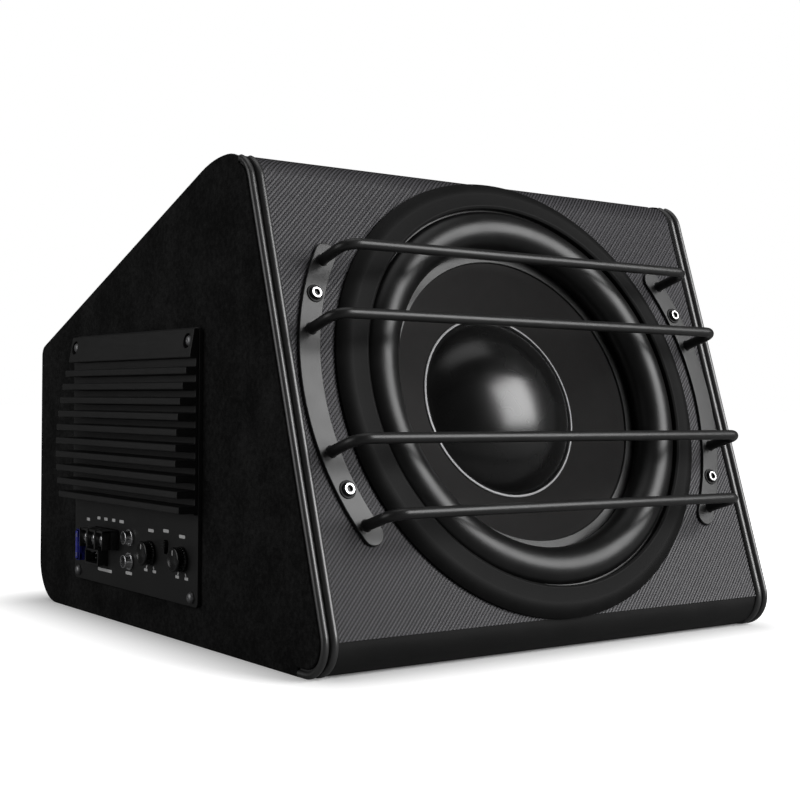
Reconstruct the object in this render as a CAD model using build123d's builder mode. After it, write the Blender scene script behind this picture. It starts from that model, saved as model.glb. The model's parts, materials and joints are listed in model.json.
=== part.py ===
"""Powered car subwoofer: a wedge-shaped sealed box with one 10-inch driver behind a four-bar guard on its
leaning front, and a finned amplifier on its left side.

Millimetres. The origin is the centre of the face it stands on. +Z is up, +Y is towards the back and the
driver looks towards -Y. The driver's own parts are drawn about its axis, as (radius, height) outlines where
height is measured outwards from the front face.
"""

import os
from math import cos, radians, sin, tan

from build123d import *

os.makedirs("parts", exist_ok=True)

# ---- Enclosure: driving sizes ----
HALF_WIDTH = 167.5
DEPTH = 372.4
HEIGHT = 276.7
REAR_HEIGHT = 175.9
FRONT_LEAN = radians(17.7)
SLOPE_FALL = radians(22.07)
FRONT_TOP = 274.3  # the vinyl stops a little under the carpeted sides

CARPET = 3.0
VINYL = 1.0
UNDERSIDE = 1.0
BOARD = 15.0
BAFFLE = 18.0

FOOT_RADIUS = 19.0
BROW_RADIUS = 24.0
CROWN_RADIUS = 80.0
SHOULDER_RADIUS = 8.0
HEEL_RADIUS = 28.0
VINYL_BROW_RADIUS = 17.0

FRONT_Y = -DEPTH / 2
REAR_Y = DEPTH / 2
BOARD_X = HALF_WIDTH - CARPET
INNER_X = BOARD_X - BOARD
VINYL_HALF_WIDTH = 157.6
TOP_SEAM_Y = FRONT_Y + 108.0
FOOT_SEAM_UP = 21.0  # up the front from the foot, where the vinyl meets the underside cover
HEEL_SEAM_Y = REAR_Y - 14.0

# ---- Edge trim: two beads on one web, let into a groove ----
BEAD_HEIGHT = 2.2
INNER_BEAD_X = 160.3
INNER_BEAD_RADIUS = 2.4
OUTER_BEAD_X = 166.0
OUTER_BEAD_RADIUS = 2.0
TRIM_BACK = 2.8  # from the outer bead's middle to the groove's floor
TRIM_FOOT_RADIUS = 17.0
TRIM_BROW_RADIUS = 18.0
TRIM_TOP_TURN = 54.0
TRIM_UNDER_LENGTH = 29.0
TRIM_TOP_RISE = 1.3  # of the trim above the vinyl, at the top
WEB_TOP = 0.8  # from the outer bead's middle to the web between the beads

# ---- Driver, about its own axis ----
DRIVER_UP = 153.0  # up the front face from the foot
GASKET_OUTER, GASKET_INNER = 133.0, 115.0
GASKET_EDGE, GASKET_LIP = 3.0, 7.4
CUTOUT_RADIUS = 117.5
FLANGE_RADIUS, FLANGE = 131.0, 2.5
CONE_OUTER, CONE_NECK = 86.0, 25.4
CONE_EDGE_HEIGHT = -9.3
CONE_SLOPE = 0.546
CONE_WALL = 1.3
CAP_RADIUS, CAP_TOP = 54.8, -2.0
CAP_RING_OUTER = 56.4
FORMER_INNER, FORMER_TOP, FORMER_BOTTOM = 25.0, -36.0, -88.0
WINDING_OUTER, WINDING_TOP, WINDING_BOTTOM = 26.3, -57.0, -81.0
SPIDER_HEIGHT, SPIDER_OUTER, SPIDER_WALL = -52.0, 66.0, 0.8
MOTOR_TOP, TOP_PLATE, MAGNET, BACK_PLATE = -65.0, 8.0, 40.0, 8.0
POLE_RADIUS, GAP_RADIUS, PLATE_RADIUS, MAGNET_RADIUS = 24.4, 27.0, 66.0, 70.0
MOUNTING_SCREWS, MOUNTING_RADIUS, MOUNTING_HOLE, PILOT_HOLE = 8, 124.5, 2.25, 1.6

# ---- Guard ----
GUARD_RADIUS, GUARD_WIDTH, GUARD_PLATE = 149.4, 13.4, 2.0
GUARD_HALF_ANGLE = 31.6
BAR_RADIUS, BAR_HEIGHT, BAR_BEND = 3.0, 27.5, 9.0
BARS = {"1": (74.0, 131.0), "2": (34.0, 145.0), "3": (-34.0, 145.0), "4": (-74.0, 131.0)}
GUARD_SCREW_X, GUARD_SCREW_UP, GUARD_HOLE = 138.9, 54.4, 2.05

# ---- Amplifier ----
PANEL_Y, PANEL_Z = (-53.4, 118.8), (22.4, 181.8)
PANEL = 2.5
PANEL_SCREW_Y, PANEL_SCREW_Z, PANEL_HOLE = (-46.2, 111.8), (27.5, 174.0), 1.8
SINK_BOTTOM, SINK_TOP, SINK_BASE = 75.0, 181.0, 2.0
FINS, FIN_TOP, FIN_PITCH, FIN = 10, 157.0, 8.78, 4.2
FIN_REACH, FIN_WIDEST_Z, FIN_ARC = 17.1, 108.0, 190.0
BLOCK_BOTTOM, BLOCK_REACH_LOW, BLOCK_REACH_HIGH = 164.3, 8.6, 5.6
OPENING_Y, OPENING_Z = (-44.4, 109.8), (30.4, 167.8)
COVER_DEPTH, COVER_WALL = 46.0, 1.2
KNOB_Z, KNOB_RADIUS, KNOB_REACH = 48.4, 7.4, 8.9
LEVEL_Y, CROSSOVER_Y = 6.8, -34.2
SHAFT_RADIUS, SHAFT_CLEARANCE = 3.0, 0.05
PHASE_Y, PHASE_Z, PHASE_TRAVEL = -13.7, 53.5, 3.0
RCA_Y, RCA_Z, RCA_RADIUS, RCA_REACH = 34.8, (55.2, 40.7), 4.15, 7.4
TERMINAL_Y, TERMINAL_Z, TERMINAL_REACH = (51.8, 86.6), (46.0, 58.0), 13.6
TERMINAL_SCREW_Y, TERMINAL_SCREW_Z = (57.4, 69.2, 81.0), 52.0
FUSE_Y, FUSE_Z, FUSE_REACH = (92.3, 97.3), (36.2, 56.2), 12.0
SOCKET_Y, SOCKET_Z, SOCKET_REACH = (67.8, 88.2), (34.6, 44.8), 9.0

SIDE_X = -HALF_WIDTH
PANEL_FACE_X = SIDE_X - PANEL
FIT = 0.3  # between pieces that move past each other

# ---- Planes of the leaning front ----
FRONT_NORMAL = Vector(0, -cos(FRONT_LEAN), sin(FRONT_LEAN))
FRONT_UP = Vector(0, sin(FRONT_LEAN), cos(FRONT_LEAN))
driver_centre = Vector(0, FRONT_Y, 0) + FRONT_UP * DRIVER_UP
driver_axis = Axis(driver_centre, FRONT_NORMAL)
driver_face = Plane(driver_centre, x_dir=(1, 0, 0), z_dir=FRONT_NORMAL)


def across_driver(up=0.0):
    """The plane that cuts the driver across, this far above its axis: x is to the right, y is outwards."""
    return Plane(driver_centre + FRONT_UP * up, x_dir=(1, 0, 0), z_dir=-FRONT_UP)


def save(piece, name):
    piece.part.label = name
    export_step(piece.part, f"parts/{name}.step")


# ---- Side profile ----
def front_y(z, inset=0.0):
    return FRONT_Y + inset / cos(FRONT_LEAN) + z * tan(FRONT_LEAN)


def draw_profile(front, top, slope, rear, bottom, corner_radii, mode=Mode.ADD):
    """The box seen from its side, in (y, z), with each edge moved in by its own amount."""
    z_top = HEIGHT - top
    y_rear = REAR_Y - rear
    crown_y = REAR_Y - (z_top - REAR_HEIGHT + slope / cos(SLOPE_FALL)) / tan(SLOPE_FALL)
    shoulder_z = REAR_HEIGHT + rear * tan(SLOPE_FALL) - slope / cos(SLOPE_FALL)
    with BuildLine() as outline:
        FilletPolyline(
            (front_y(bottom, front), bottom),
            (front_y(z_top, front), z_top),
            (crown_y, z_top),
            (y_rear, shoulder_z),
            (y_rear, bottom),
            radius=corner_radii,
            close=True,
        )
    make_face(outline.edges(), mode=mode)


def draw_skin(mode=Mode.ADD):
    radii = [FOOT_RADIUS, BROW_RADIUS, CROWN_RADIUS, SHOULDER_RADIUS, HEEL_RADIUS]
    draw_profile(0, 0, 0, 0, 0, radii, mode)


def draw_vinyl_skin(mode=Mode.ADD):
    radii = [FOOT_RADIUS, VINYL_BROW_RADIUS, CROWN_RADIUS - CARPET, SHOULDER_RADIUS, SHOULDER_RADIUS]
    draw_profile(0, HEIGHT - FRONT_TOP, CARPET, CARPET, 0, radii, mode)


def draw_core(mode=Mode.ADD):
    """The outline of the boards, under every covering."""
    radii = [
        FOOT_RADIUS - UNDERSIDE,
        VINYL_BROW_RADIUS - VINYL,
        CROWN_RADIUS - CARPET,
        SHOULDER_RADIUS - CARPET,
        HEEL_RADIUS - CARPET,
    ]
    draw_profile(VINYL, HEIGHT - FRONT_TOP + VINYL, CARPET, CARPET, UNDERSIDE, radii, mode)


def draw_polygon(*corners, mode=Mode.ADD):
    with BuildLine() as outline:
        Polyline(*corners, close=True)
    make_face(outline.edges(), mode=mode)


def draw_front_zone(inset, mode):
    """Everything in front of the plane that lies this far behind the front face."""
    draw_polygon(
        (front_y(-DEPTH, inset), -DEPTH),
        (front_y(DEPTH, inset), DEPTH),
        (-2 * DEPTH, DEPTH),
        (-2 * DEPTH, -DEPTH),
        mode=mode,
    )


def seam_corner(up):
    """A point (y, z) up the front from the foot, and one far inside, square to the face."""
    on_face = (FRONT_Y + up * sin(FRONT_LEAN), up * cos(FRONT_LEAN))
    reach = 3 * CARPET
    outside = (on_face[0] - reach * cos(FRONT_LEAN), on_face[1] + reach * sin(FRONT_LEAN))
    inside = (on_face[0] + reach * cos(FRONT_LEAN), on_face[1] - reach * sin(FRONT_LEAN))
    return outside, inside


# ---- Edge trim route, shared by the trim and by the grooves it lies in ----
def trim_route_points():
    """The trim's route in (y, z): under the foot, up the front and the point where the brow's arc starts."""
    inset = OUTER_BEAD_RADIUS - BEAD_HEIGHT
    low_z = OUTER_BEAD_RADIUS
    brow_z = FRONT_TOP + TRIM_TOP_RISE - OUTER_BEAD_RADIUS
    brow_tangent = TRIM_BROW_RADIUS * tan((radians(90) - FRONT_LEAN) / 2)
    start = (front_y(low_z, inset) + TRIM_UNDER_LENGTH, low_z)
    foot = (front_y(low_z, inset), low_z)
    arc_z = brow_z - brow_tangent * cos(FRONT_LEAN)
    return start, foot, (front_y(arc_z, inset), arc_z)


def sweep_along_trim(side, draw_section, mode=Mode.ADD):
    start, foot, arc_start = trim_route_points()
    with BuildLine(Plane.YZ) as route:
        FilletPolyline(start, foot, arc_start, radius=TRIM_FOOT_RADIUS)
        JernArc(arc_start, (sin(FRONT_LEAN), cos(FRONT_LEAN)), TRIM_BROW_RADIUS, -TRIM_TOP_TURN)
    # At the start the route runs forwards, so the sketch's y points up, into the box.
    with BuildSketch(Plane((0, *start), x_dir=(1, 0, 0), z_dir=(0, -1, 0))) as section:
        draw_section(side)
    sweep(section.sketch, path=route.wires()[0], mode=mode)


def draw_trim(side):
    with Locations((side * OUTER_BEAD_X, 0)):
        Circle(OUTER_BEAD_RADIUS)
    with Locations((side * INNER_BEAD_X, INNER_BEAD_RADIUS - OUTER_BEAD_RADIUS)):
        Circle(INNER_BEAD_RADIUS)
    web_middle = (OUTER_BEAD_X + INNER_BEAD_X) / 2
    with Locations((side * web_middle, TRIM_BACK)):
        Rectangle(OUTER_BEAD_X - INNER_BEAD_X, TRIM_BACK - WEB_TOP, align=(Align.CENTER, Align.MAX))


def draw_trim_groove(side):
    middle = (VINYL_HALF_WIDTH + HALF_WIDTH + CARPET) / 2
    with Locations((side * middle, TRIM_BACK)):
        Rectangle(HALF_WIDTH + CARPET - VINYL_HALF_WIDTH, 4 * TRIM_BACK, align=(Align.CENTER, Align.MAX))


def cut_amplifier_opening():
    """Cuts the amplifier's opening and its screws' holes through the left side."""
    with BuildSketch(Plane.YZ.offset(-HALF_WIDTH - CARPET)) as opening:
        with Locations((sum(OPENING_Y) / 2, sum(OPENING_Z) / 2)):
            Rectangle(OPENING_Y[1] - OPENING_Y[0], OPENING_Z[1] - OPENING_Z[0])
        with Locations(*[(y, z) for y in PANEL_SCREW_Y for z in PANEL_SCREW_Z]):
            Circle(PANEL_HOLE)
    extrude(opening.sketch, amount=BOARD + 3 * CARPET, mode=Mode.SUBTRACT)


# ---- Boards ----
for side, name in ((-1, "left"), (1, "right")):
    with BuildPart() as side_board:
        with BuildSketch(Plane.YZ.offset(side * (INNER_X + BOARD / 2))):
            draw_core()
        extrude(amount=BOARD / 2, both=True)
        sweep_along_trim(side, draw_trim_groove, Mode.SUBTRACT)
        if side < 0:
            cut_amplifier_opening()
    save(side_board, f"{name}_side_board")

    with BuildPart() as side_carpet:
        with BuildSketch(Plane.YZ.offset(side * (BOARD_X + CARPET / 2))):
            draw_profile(
                BEAD_HEIGHT, 0, 0, 0, 0,
                [FOOT_RADIUS, BROW_RADIUS, CROWN_RADIUS, SHOULDER_RADIUS, HEEL_RADIUS],
            )
        extrude(amount=CARPET / 2, both=True)
        sweep_along_trim(side, draw_trim_groove, Mode.SUBTRACT)
        if side < 0:
            cut_amplifier_opening()
    save(side_carpet, f"{name}_side_carpet")

    with BuildPart() as edge_trim:
        sweep_along_trim(side, draw_trim)
    save(edge_trim, f"{name}_edge_trim")

with BuildPart() as baffle_board:
    with BuildSketch(Plane.YZ):
        draw_core()
        draw_front_zone(VINYL + BAFFLE, Mode.INTERSECT)
    extrude(amount=INNER_X, both=True)
    with Locations(driver_face):
        Cylinder(CUTOUT_RADIUS, 6 * BAFFLE, mode=Mode.SUBTRACT)
        with PolarLocations(MOUNTING_RADIUS, MOUNTING_SCREWS):
            Cylinder(PILOT_HOLE, 4 * BAFFLE, mode=Mode.SUBTRACT)
        with GridLocations(2 * GUARD_SCREW_X, 2 * GUARD_SCREW_UP, 2, 2):
            Cylinder(GUARD_HOLE, 4 * BAFFLE, mode=Mode.SUBTRACT)
save(baffle_board, "baffle_board")

CORE_TOP = FRONT_TOP - VINYL
FLOOR_TOP = UNDERSIDE + BOARD
REAR_INNER_Y = REAR_Y - CARPET - BOARD
SLOPE_INSET = CARPET + BOARD
TOP_BOARD_END_Y = FRONT_Y + 126.0


def slope_z(y, inset):
    return REAR_HEIGHT + (REAR_Y - y) * tan(SLOPE_FALL) - inset / cos(SLOPE_FALL)


def start_board_sketch():
    """The boards' outline behind the baffle: each board then keeps its own stretch of it."""
    draw_core()
    draw_front_zone(VINYL + BAFFLE, Mode.SUBTRACT)


with BuildPart() as bottom_board:
    with BuildSketch(Plane.YZ):
        start_board_sketch()
        draw_polygon((-DEPTH, 0), (-DEPTH, FLOOR_TOP), (DEPTH, FLOOR_TOP), (DEPTH, 0), mode=Mode.INTERSECT)
    extrude(amount=INNER_X, both=True)
save(bottom_board, "bottom_board")

with BuildPart() as rear_board:
    with BuildSketch(Plane.YZ):
        start_board_sketch()
        draw_polygon(
            (REAR_INNER_Y, FLOOR_TOP), (REAR_INNER_Y, HEIGHT), (DEPTH, HEIGHT), (DEPTH, FLOOR_TOP),
            mode=Mode.INTERSECT,
        )
    extrude(amount=INNER_X, both=True)
save(rear_board, "rear_board")

with BuildPart() as slope_board:
    with BuildSketch(Plane.YZ):
        start_board_sketch()
        draw_polygon(
            (TOP_BOARD_END_Y, slope_z(TOP_BOARD_END_Y, SLOPE_INSET)),
            (TOP_BOARD_END_Y, HEIGHT),
            (REAR_INNER_Y, HEIGHT),
            (REAR_INNER_Y, slope_z(REAR_INNER_Y, SLOPE_INSET)),
            mode=Mode.INTERSECT,
        )
    extrude(amount=INNER_X, both=True)
save(slope_board, "slope_board")

with BuildPart() as top_board:
    with BuildSketch(Plane.YZ):
        start_board_sketch()
        draw_polygon(
            (-DEPTH, CORE_TOP - BOARD), (-DEPTH, HEIGHT),
            (TOP_BOARD_END_Y, HEIGHT), (TOP_BOARD_END_Y, CORE_TOP - BOARD),
            mode=Mode.INTERSECT,
        )
    extrude(amount=INNER_X, both=True)
save(top_board, "top_board")

BATTEN, BATTEN_HEIGHT = 18.0, 120.0
with BuildPart() as corner_battens:
    batten_y = REAR_INNER_Y - BATTEN / 2
    with Locations(*[(side * (INNER_X - BATTEN / 2), batten_y, FLOOR_TOP) for side in (-1, 1)]):
        Box(BATTEN, BATTEN, BATTEN_HEIGHT, align=(Align.CENTER, Align.CENTER, Align.MIN))
save(corner_battens, "corner_battens")

WADDING, WADDING_HEIGHT, WADDING_LIFT = 25.0, 110.0, 8.0
with BuildPart() as damping_wadding:
    with Locations((0, REAR_INNER_Y, FLOOR_TOP + WADDING_LIFT)):
        Box(2 * INNER_X - 3 * BATTEN, WADDING, WADDING_HEIGHT, align=(Align.CENTER, Align.MAX, Align.MIN))
    fillet(damping_wadding.edges().filter_by(Axis.Z), WADDING / 4)
save(damping_wadding, "damping_wadding")

# ---- Coverings ----
seam_outside, seam_inside = seam_corner(FOOT_SEAM_UP)
with BuildPart() as front_vinyl:
    with BuildSketch(Plane.YZ):
        draw_vinyl_skin()
        draw_core(Mode.SUBTRACT)
        draw_polygon(
            seam_outside, seam_inside, (TOP_SEAM_Y, HEIGHT / 2), (TOP_SEAM_Y, 2 * HEIGHT),
            (-DEPTH, 2 * HEIGHT), (-DEPTH, seam_outside[1]),
            mode=Mode.INTERSECT,
        )
    extrude(amount=VINYL_HALF_WIDTH, both=True)
    with Locations(driver_face):
        Cylinder(CUTOUT_RADIUS, 2 * BAFFLE, mode=Mode.SUBTRACT)
        with PolarLocations(MOUNTING_RADIUS, MOUNTING_SCREWS):
            Cylinder(MOUNTING_HOLE, 2 * BAFFLE, mode=Mode.SUBTRACT)
        with GridLocations(2 * GUARD_SCREW_X, 2 * GUARD_SCREW_UP, 2, 2):
            Cylinder(GUARD_HOLE, 2 * BAFFLE, mode=Mode.SUBTRACT)
save(front_vinyl, "front_vinyl")

with BuildPart() as underside_cover:
    with BuildSketch(Plane.YZ):
        draw_skin()
        draw_core(Mode.SUBTRACT)
        draw_polygon(
            seam_outside, seam_inside, (HEEL_SEAM_Y, seam_inside[1]), (HEEL_SEAM_Y, -DEPTH), (-DEPTH, -DEPTH),
            (-DEPTH, seam_outside[1]),
            mode=Mode.INTERSECT,
        )
    extrude(amount=BOARD_X, both=True)
    for side in (-1, 1):
        sweep_along_trim(side, draw_trim_groove, Mode.SUBTRACT)
save(underside_cover, "underside_cover")

with BuildPart() as rear_carpet:
    with BuildSketch(Plane.YZ):
        draw_skin()
        draw_core(Mode.SUBTRACT)
        draw_polygon(
            (TOP_SEAM_Y, HEIGHT / 2), (TOP_SEAM_Y, 2 * HEIGHT), (DEPTH, 2 * HEIGHT), (DEPTH, -DEPTH),
            (HEEL_SEAM_Y, -DEPTH), (HEEL_SEAM_Y, HEIGHT / 2),
            mode=Mode.INTERSECT,
        )
    extrude(amount=BOARD_X, both=True)
save(rear_carpet, "rear_carpet")


# ---- Driver ----
def turn_about_driver(*outline, mode=Mode.ADD):
    """Turns a closed (radius, height) outline about the driver's axis."""
    with BuildSketch(across_driver()) as section:
        draw_polygon(*outline)
    revolve(section.sketch, axis=driver_axis, mode=mode)


def cone_top(radius):
    return CONE_EDGE_HEIGHT - (CONE_OUTER - radius) * CONE_SLOPE


SURROUND = 1.0
BASKET_WALL = 2.5
LEDGE_HEIGHT, LEDGE, LEDGE_INNER, LEDGE_OUTER = SPIDER_HEIGHT - SPIDER_WALL, 2.0, 61.0, 70.0
BASKET_MOUTH, BASKET_OUTER, BASKET_FOOT, BASKET_BORE = 112.0, 116.8, 72.5, 34.0
BASKET_RIM_DEPTH, LEG_TOP, LEG_BOTTOM = -8.0, -9.0, -50.0
WINDOWS, WINDOW_RADIUS, WINDOW_HEIGHT, WINDOW_SIZE = 6, 92.0, -29.0, (46.0, 52.0, 26.0)
FLANGE_HOLE, FLANGE_SINK = 2.2, 4.0
with BuildPart() as driver_basket:
    turn_about_driver(
        (BASKET_MOUTH, 0), (BASKET_MOUTH, FLANGE), (FLANGE_RADIUS, FLANGE), (FLANGE_RADIUS, 0),
        (BASKET_OUTER, 0), (BASKET_OUTER, BASKET_RIM_DEPTH), (BASKET_FOOT, LEG_BOTTOM),
        (BASKET_FOOT, MOTOR_TOP), (BASKET_BORE, MOTOR_TOP), (BASKET_BORE, MOTOR_TOP + BASKET_WALL),
        (LEDGE_OUTER - LEDGE, MOTOR_TOP + BASKET_WALL), (LEDGE_OUTER - LEDGE, LEDGE_HEIGHT - LEDGE),
        (LEDGE_INNER, LEDGE_HEIGHT - LEDGE), (LEDGE_INNER, LEDGE_HEIGHT), (LEDGE_OUTER, LEDGE_HEIGHT),
        (LEDGE_OUTER, LEG_BOTTOM + 1), (BASKET_MOUTH, LEG_TOP),
    )
    with Locations(driver_face.offset(WINDOW_HEIGHT)):
        with PolarLocations(WINDOW_RADIUS, WINDOWS, start_angle=30):
            Box(*WINDOW_SIZE, mode=Mode.SUBTRACT)
    with Locations(driver_face.offset(FLANGE)):
        with PolarLocations(MOUNTING_RADIUS, MOUNTING_SCREWS):
            CounterSinkHole(FLANGE_HOLE, FLANGE_SINK, depth=2 * FLANGE, counter_sink_angle=90)
save(driver_basket, "driver_basket")

MOUNTING_HEAD, MOUNTING_HEAD_RADIUS, MOUNTING_SHANK, MOUNTING_LENGTH = 1.8, 3.8, 1.55, 18.0
MOUNTING_NECK = 2.0
MOUNTING_TOP = FLANGE - 0.1
with BuildPart() as mounting_screws:
    with Locations(driver_face.offset(MOUNTING_TOP)):
        with PolarLocations(MOUNTING_RADIUS, MOUNTING_SCREWS):
            Cone(MOUNTING_NECK, MOUNTING_HEAD_RADIUS, MOUNTING_HEAD, align=(Align.CENTER, Align.CENTER, Align.MAX))
    with Locations(driver_face.offset(MOUNTING_TOP - MOUNTING_HEAD)):
        with PolarLocations(MOUNTING_RADIUS, MOUNTING_SCREWS):
            Cylinder(MOUNTING_SHANK, MOUNTING_LENGTH, align=(Align.CENTER, Align.CENTER, Align.MAX))
save(mounting_screws, "driver_mounting_screws")

GASKET_STEP = 118.2  # the ring presses the surround's edge down inside this radius
GASKET_SHOULDER = (124.0, 5.7)
GASKET_BEND = (129.5, 4.3)
GASKET_ROUND, GASKET_LIP_SIDE, GASKET_FIT = 1.4, 1.2, 0.2
with BuildPart() as gasket_ring:
    rim = (GASKET_OUTER, GASKET_EDGE - GASKET_ROUND)
    lip = (GASKET_INNER, GASKET_LIP - GASKET_LIP_SIDE)
    with BuildSketch(across_driver()):
        with BuildLine():
            Polyline(
                lip, (GASKET_INNER, FLANGE + SURROUND), (GASKET_STEP, FLANGE + SURROUND),
                (GASKET_STEP, FLANGE), (FLANGE_RADIUS + GASKET_FIT, FLANGE),
                (FLANGE_RADIUS + GASKET_FIT, 0), (GASKET_OUTER, 0), rim,
            )
            ThreePointArc(rim, GASKET_BEND, GASKET_SHOULDER)
            Polyline(GASKET_SHOULDER, (GASKET_INNER + GASKET_ROUND, GASKET_LIP), lip)
        make_face()
    revolve(axis=driver_axis)
save(gasket_ring, "driver_gasket_ring")

# The roll's arcs run from the flange, over the crest, to the cone's edge.
ROLL_OUTSIDE = ((114.2, FLANGE + SURROUND), (101.5, 8.9), (92.5, CONE_EDGE_HEIGHT + SURROUND))
ROLL_INSIDE = ((93.6, CONE_EDGE_HEIGHT), (101.8, 7.9), (113.2, FLANGE))
SURROUND_OUTER = 118.0
with BuildPart() as surround:
    with BuildSketch(across_driver()):
        with BuildLine():
            ThreePointArc(*ROLL_OUTSIDE)
            Polyline(
                ROLL_OUTSIDE[-1], (CONE_OUTER, CONE_EDGE_HEIGHT + SURROUND), (CONE_OUTER, CONE_EDGE_HEIGHT),
                ROLL_INSIDE[0],
            )
            ThreePointArc(*ROLL_INSIDE)
            Polyline(
                ROLL_INSIDE[-1], (SURROUND_OUTER, FLANGE), (SURROUND_OUTER, FLANGE + SURROUND),
                ROLL_OUTSIDE[0],
            )
        make_face()
    revolve(axis=driver_axis)
save(surround, "surround")

CONE_GLUE_RADIUS = 91.0  # the cone's flat rim, under the surround
with BuildPart() as cone:
    turn_about_driver(
        (CONE_GLUE_RADIUS, CONE_EDGE_HEIGHT), (CONE_OUTER, CONE_EDGE_HEIGHT),
        (CONE_NECK, cone_top(CONE_NECK)),
        (CONE_NECK, cone_top(CONE_NECK) - 1.5 * CONE_WALL), (CONE_OUTER + 0.3, CONE_EDGE_HEIGHT - CONE_WALL),
        (CONE_GLUE_RADIUS, CONE_EDGE_HEIGHT - CONE_WALL),
    )
save(cone, "cone")

CAP_WALL = 1.0
CAP_RISE = CAP_TOP - cone_top(CAP_RADIUS)
CAP_SPHERE = (CAP_RADIUS**2 + CAP_RISE**2) / (2 * CAP_RISE)

with BuildPart() as dust_cap:
    with Locations(driver_face.offset(CAP_TOP - CAP_SPHERE)):
        Sphere(CAP_SPHERE)
        Sphere(CAP_SPHERE - CAP_WALL, mode=Mode.SUBTRACT)
    turn_about_driver(
        (0, 2 * FLANGE), (CAP_RADIUS, 2 * FLANGE), (CAP_RADIUS, cone_top(CAP_RADIUS)),
        (CAP_RADIUS / 2, cone_top(CAP_RADIUS / 2)), (0, cone_top(CAP_RADIUS / 2)),
        mode=Mode.INTERSECT,
    )
save(dust_cap, "dust_cap")

RING_GAP, RING_OUTSIDE, RING_CREST, RING_INSIDE = 0.2, 1.2, 2.0, 1.6
with BuildPart() as cap_ring:
    ring_inner = CAP_RADIUS + RING_GAP
    turn_about_driver(
        (ring_inner, cone_top(ring_inner)), (CAP_RING_OUTER, cone_top(CAP_RING_OUTER)),
        (CAP_RING_OUTER - 0.2, cone_top(CAP_RING_OUTER) + RING_OUTSIDE),
        (ring_inner + 0.4, cone_top(ring_inner) + RING_CREST),
        (ring_inner, cone_top(ring_inner) + RING_INSIDE),
    )
save(cap_ring, "dust_cap_ring")

with BuildPart() as former:
    turn_about_driver(
        (FORMER_INNER, FORMER_TOP), (CONE_NECK, FORMER_TOP), (CONE_NECK, FORMER_BOTTOM),
        (FORMER_INNER, FORMER_BOTTOM),
    )
save(former, "voice_coil_former")

with BuildPart() as winding:
    turn_about_driver(
        (CONE_NECK, WINDING_TOP), (WINDING_OUTER, WINDING_TOP), (WINDING_OUTER, WINDING_BOTTOM),
        (CONE_NECK, WINDING_BOTTOM),
    )
save(winding, "voice_coil_winding")

SPIDER_WAVES, SPIDER_WAVE, WAVES_FROM, WAVES_TO = 4, 1.4, 31.0, 60.0
with BuildPart() as spider:
    step = (WAVES_TO - WAVES_FROM) / (2 * SPIDER_WAVES)
    crests = [
        (WAVES_FROM + k * step, SPIDER_HEIGHT + (SPIDER_WAVE if k % 2 else 0))
        for k in range(2 * SPIDER_WAVES + 1)
    ]
    upper = [(CONE_NECK, SPIDER_HEIGHT), *crests, (SPIDER_OUTER, SPIDER_HEIGHT)]
    lower = [(radius, height - SPIDER_WALL) for radius, height in reversed(upper)]
    turn_about_driver(*upper, *lower)
save(spider, "spider")

PLATE_BOTTOM = MOTOR_TOP - TOP_PLATE
MAGNET_BOTTOM = PLATE_BOTTOM - MAGNET
MOTOR_BOTTOM = MAGNET_BOTTOM - BACK_PLATE
MAGNET_BORE, VENT, BOOT, BOOT_BORE = 34.0, 9.0, 2.5, 30.0
with BuildPart() as top_plate:
    turn_about_driver(
        (GAP_RADIUS, MOTOR_TOP), (PLATE_RADIUS, MOTOR_TOP), (PLATE_RADIUS, PLATE_BOTTOM),
        (GAP_RADIUS, PLATE_BOTTOM),
    )
save(top_plate, "top_plate")

with BuildPart() as magnet:
    turn_about_driver(
        (MAGNET_BORE, PLATE_BOTTOM), (MAGNET_RADIUS, PLATE_BOTTOM), (MAGNET_RADIUS, MAGNET_BOTTOM),
        (MAGNET_BORE, MAGNET_BOTTOM),
    )
save(magnet, "ferrite_magnet")

with BuildPart() as pole_yoke:
    turn_about_driver(
        (VENT, MOTOR_TOP), (POLE_RADIUS, MOTOR_TOP), (POLE_RADIUS, MAGNET_BOTTOM),
        (PLATE_RADIUS, MAGNET_BOTTOM), (PLATE_RADIUS, MOTOR_BOTTOM), (VENT, MOTOR_BOTTOM),
    )
save(pole_yoke, "pole_yoke")

with BuildPart() as magnet_boot:
    turn_about_driver(
        (MAGNET_RADIUS, PLATE_BOTTOM), (MAGNET_RADIUS + BOOT, PLATE_BOTTOM),
        (MAGNET_RADIUS + BOOT, MOTOR_BOTTOM - BOOT), (BOOT_BORE, MOTOR_BOTTOM - BOOT),
        (BOOT_BORE, MOTOR_BOTTOM),
        (MAGNET_RADIUS, MOTOR_BOTTOM),
    )
save(magnet_boot, "magnet_boot")

DRIVER_TERMINAL, DRIVER_TERMINAL_OUT = (24.0, 8.0, 9.0), 72.9
with BuildPart() as driver_terminal:
    with Locations(driver_face.offset((MOTOR_TOP + LEDGE_HEIGHT) / 2)):
        with Locations((0, DRIVER_TERMINAL_OUT, 0)):
            Box(*DRIVER_TERMINAL, align=(Align.CENTER, Align.MIN, Align.CENTER))
    fillet(driver_terminal.edges(), 0.8)
save(driver_terminal, "driver_terminal")

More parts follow.
